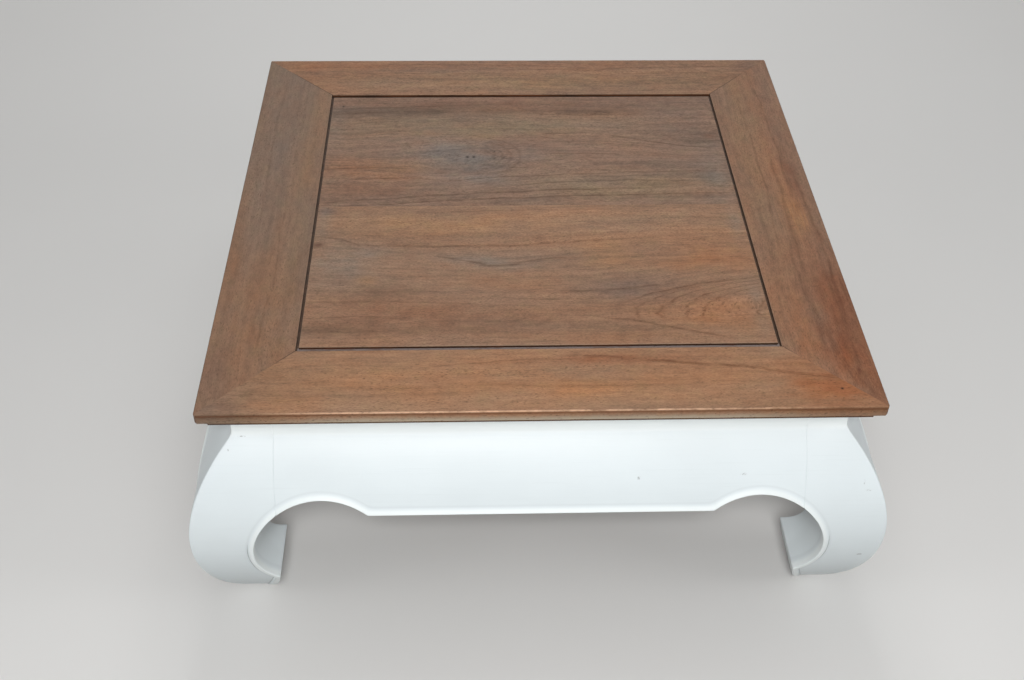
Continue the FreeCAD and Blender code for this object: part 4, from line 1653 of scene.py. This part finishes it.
def add_floor():
    """A pale floor that stays pale beyond the lamps' reach."""
    mesh = bmesh.new()
    bmesh.ops.create_grid(mesh, x_segments=1, y_segments=1, size=FLOOR_SIZE / 2)
    data = bpy.data.meshes.new("floor")
    mesh.to_mesh(data)
    mesh.free()
    finish = Surface("floor")
    place = finish.place()
    haze = finish.noise(place, FLOOR_HAZE)
    far = finish.rise(finish.vector_maths("DOT_PRODUCT", place, place) * MM * MM, *FLOOR_GLOW_EDGE)
    glow = finish.mix(far * finish.seen(), (0.0, 0.0, 0.0), FAR_GLOW)
    tone = finish.mix(finish.rise(haze, -0.4, 0.4), scaled(FLOOR_COLOUR, 0.985), FLOOR_COLOUR)
    tone = finish.mix(finish.seen(), FLOOR_BOUNCE, tone)
    lit = {"Emission Color": glow, "Emission Strength": 1.0}
    material = finish.shade(tone, FLOOR_ROUGHNESS, finish.bump(haze, *FLOOR_BUMP), **lit)
    data.materials.append(material)
    floor = add_object("floor", data)


def add_lamps():
    """Square lamps, all aimed at the middle of the table."""
    for name, place, size, watts in LAMPS:
        data = bpy.data.lights.new(name, "AREA")
        data.size = size
        data.energy = watts
        lamp = add_object(name, data)
        lamp.location = place
        toward = Vector((0, 0, TOP_HEIGHT / 2)) - Vector(place)
        lamp.rotation_euler = toward.to_track_quat("-Z", "Y").to_euler()


def add_world():
    """A plain grey sky for fill light, which the camera and reflections see as white."""
    world = bpy.data.worlds.new("studio")
    world.use_nodes = True
    sky = Finish(world.node_tree)
    fill = sky.node("ShaderNodeBackground", {}, {"Color": WHITE, "Strength": FILL_STRENGTH})
    white = sky.node("ShaderNodeBackground", {}, {"Color": WHITE, "Strength": 1.0})
    lights = [Signal(sky, node.outputs[0]) for node in (fill, white)]
    both = sky.node("ShaderNodeMixShader", {}, {0: sky.seen(), 1: lights[0], 2: lights[1]})
    sky.node("ShaderNodeOutputWorld", {}, {"Surface": Signal(sky, both.outputs[0])})
    bpy.context.scene.world = world


def add_camera():
    """The photograph's viewpoint, with its turns taken about the table's axes in order."""
    turn = Matrix.Identity(3)
    for axis, degrees in CAMERA_TURNS:
        turn = turn @ Matrix.Rotation(math.radians(degrees), 3, axis)
    data = bpy.data.cameras.new("camera")
    data.lens = CAMERA_LENS
    camera = add_object("camera", data)
    axes = Matrix((turn[0], turn[2], -turn[1])).transposed()
    camera.matrix_world = Matrix.Translation(CAMERA_PLACE) @ axes.to_4x4()
    bpy.context.scene.camera = camera


class KANG_OT_stage(bpy.types.Operator):
    """Builds the floor, lamps, world and camera"""
    bl_idname = "kang.stage"
    bl_label = "Stage"

    def execute(self, context):
        add_floor()
        add_lamps()
        add_world()
        add_camera()
        context.scene.view_settings.view_transform = "Standard"
        return {"FINISHED"}


OPERATORS = (
    KANG_OT_top_frame,
    KANG_OT_panel,
    KANG_OT_legs,
    KANG_OT_aprons,
    KANG_OT_joinery,
    KANG_OT_stage,
)
GROUPS = {
    "kang_top": KangTopSizes,
    "kang_base": KangBaseSizes,
    "kang_dowels": KangDowelSizes,
    "kang_colours": KangColours,
}


class KANG_PT_table(bpy.types.Panel):
    """Lists the steps that build the table"""
    bl_label = "Kang table"
    bl_idname = "KANG_PT_table"
    bl_space_type = "VIEW_3D"
    bl_region_type = "UI"
    bl_category = "Kang table"

    def draw(self, context):
        for operator in OPERATORS:
            self.layout.operator(operator.bl_idname)


def register():
    """Adds the sizes, the operators and the panel to Blender."""
    for name, group in GROUPS.items():
        bpy.utils.register_class(group)
        setattr(bpy.types.Scene, name, PointerProperty(type=group))
    for kind in (*OPERATORS, KANG_PT_table):
        bpy.utils.register_class(kind)


def unregister():
    """Takes them out again."""
    for kind in (KANG_PT_table, *OPERATORS):
        bpy.utils.unregister_class(kind)
    for name, group in GROUPS.items():
        delattr(bpy.types.Scene, name)
        bpy.utils.unregister_class(group)


def main():
    """Builds the whole scene."""
    register()
    bpy.ops.kang.top_frame()
    bpy.ops.kang.panel()
    bpy.ops.kang.legs()
    bpy.ops.kang.aprons()
    bpy.ops.kang.joinery()
    bpy.ops.kang.stage()


if __name__ == "__main__":
    main()
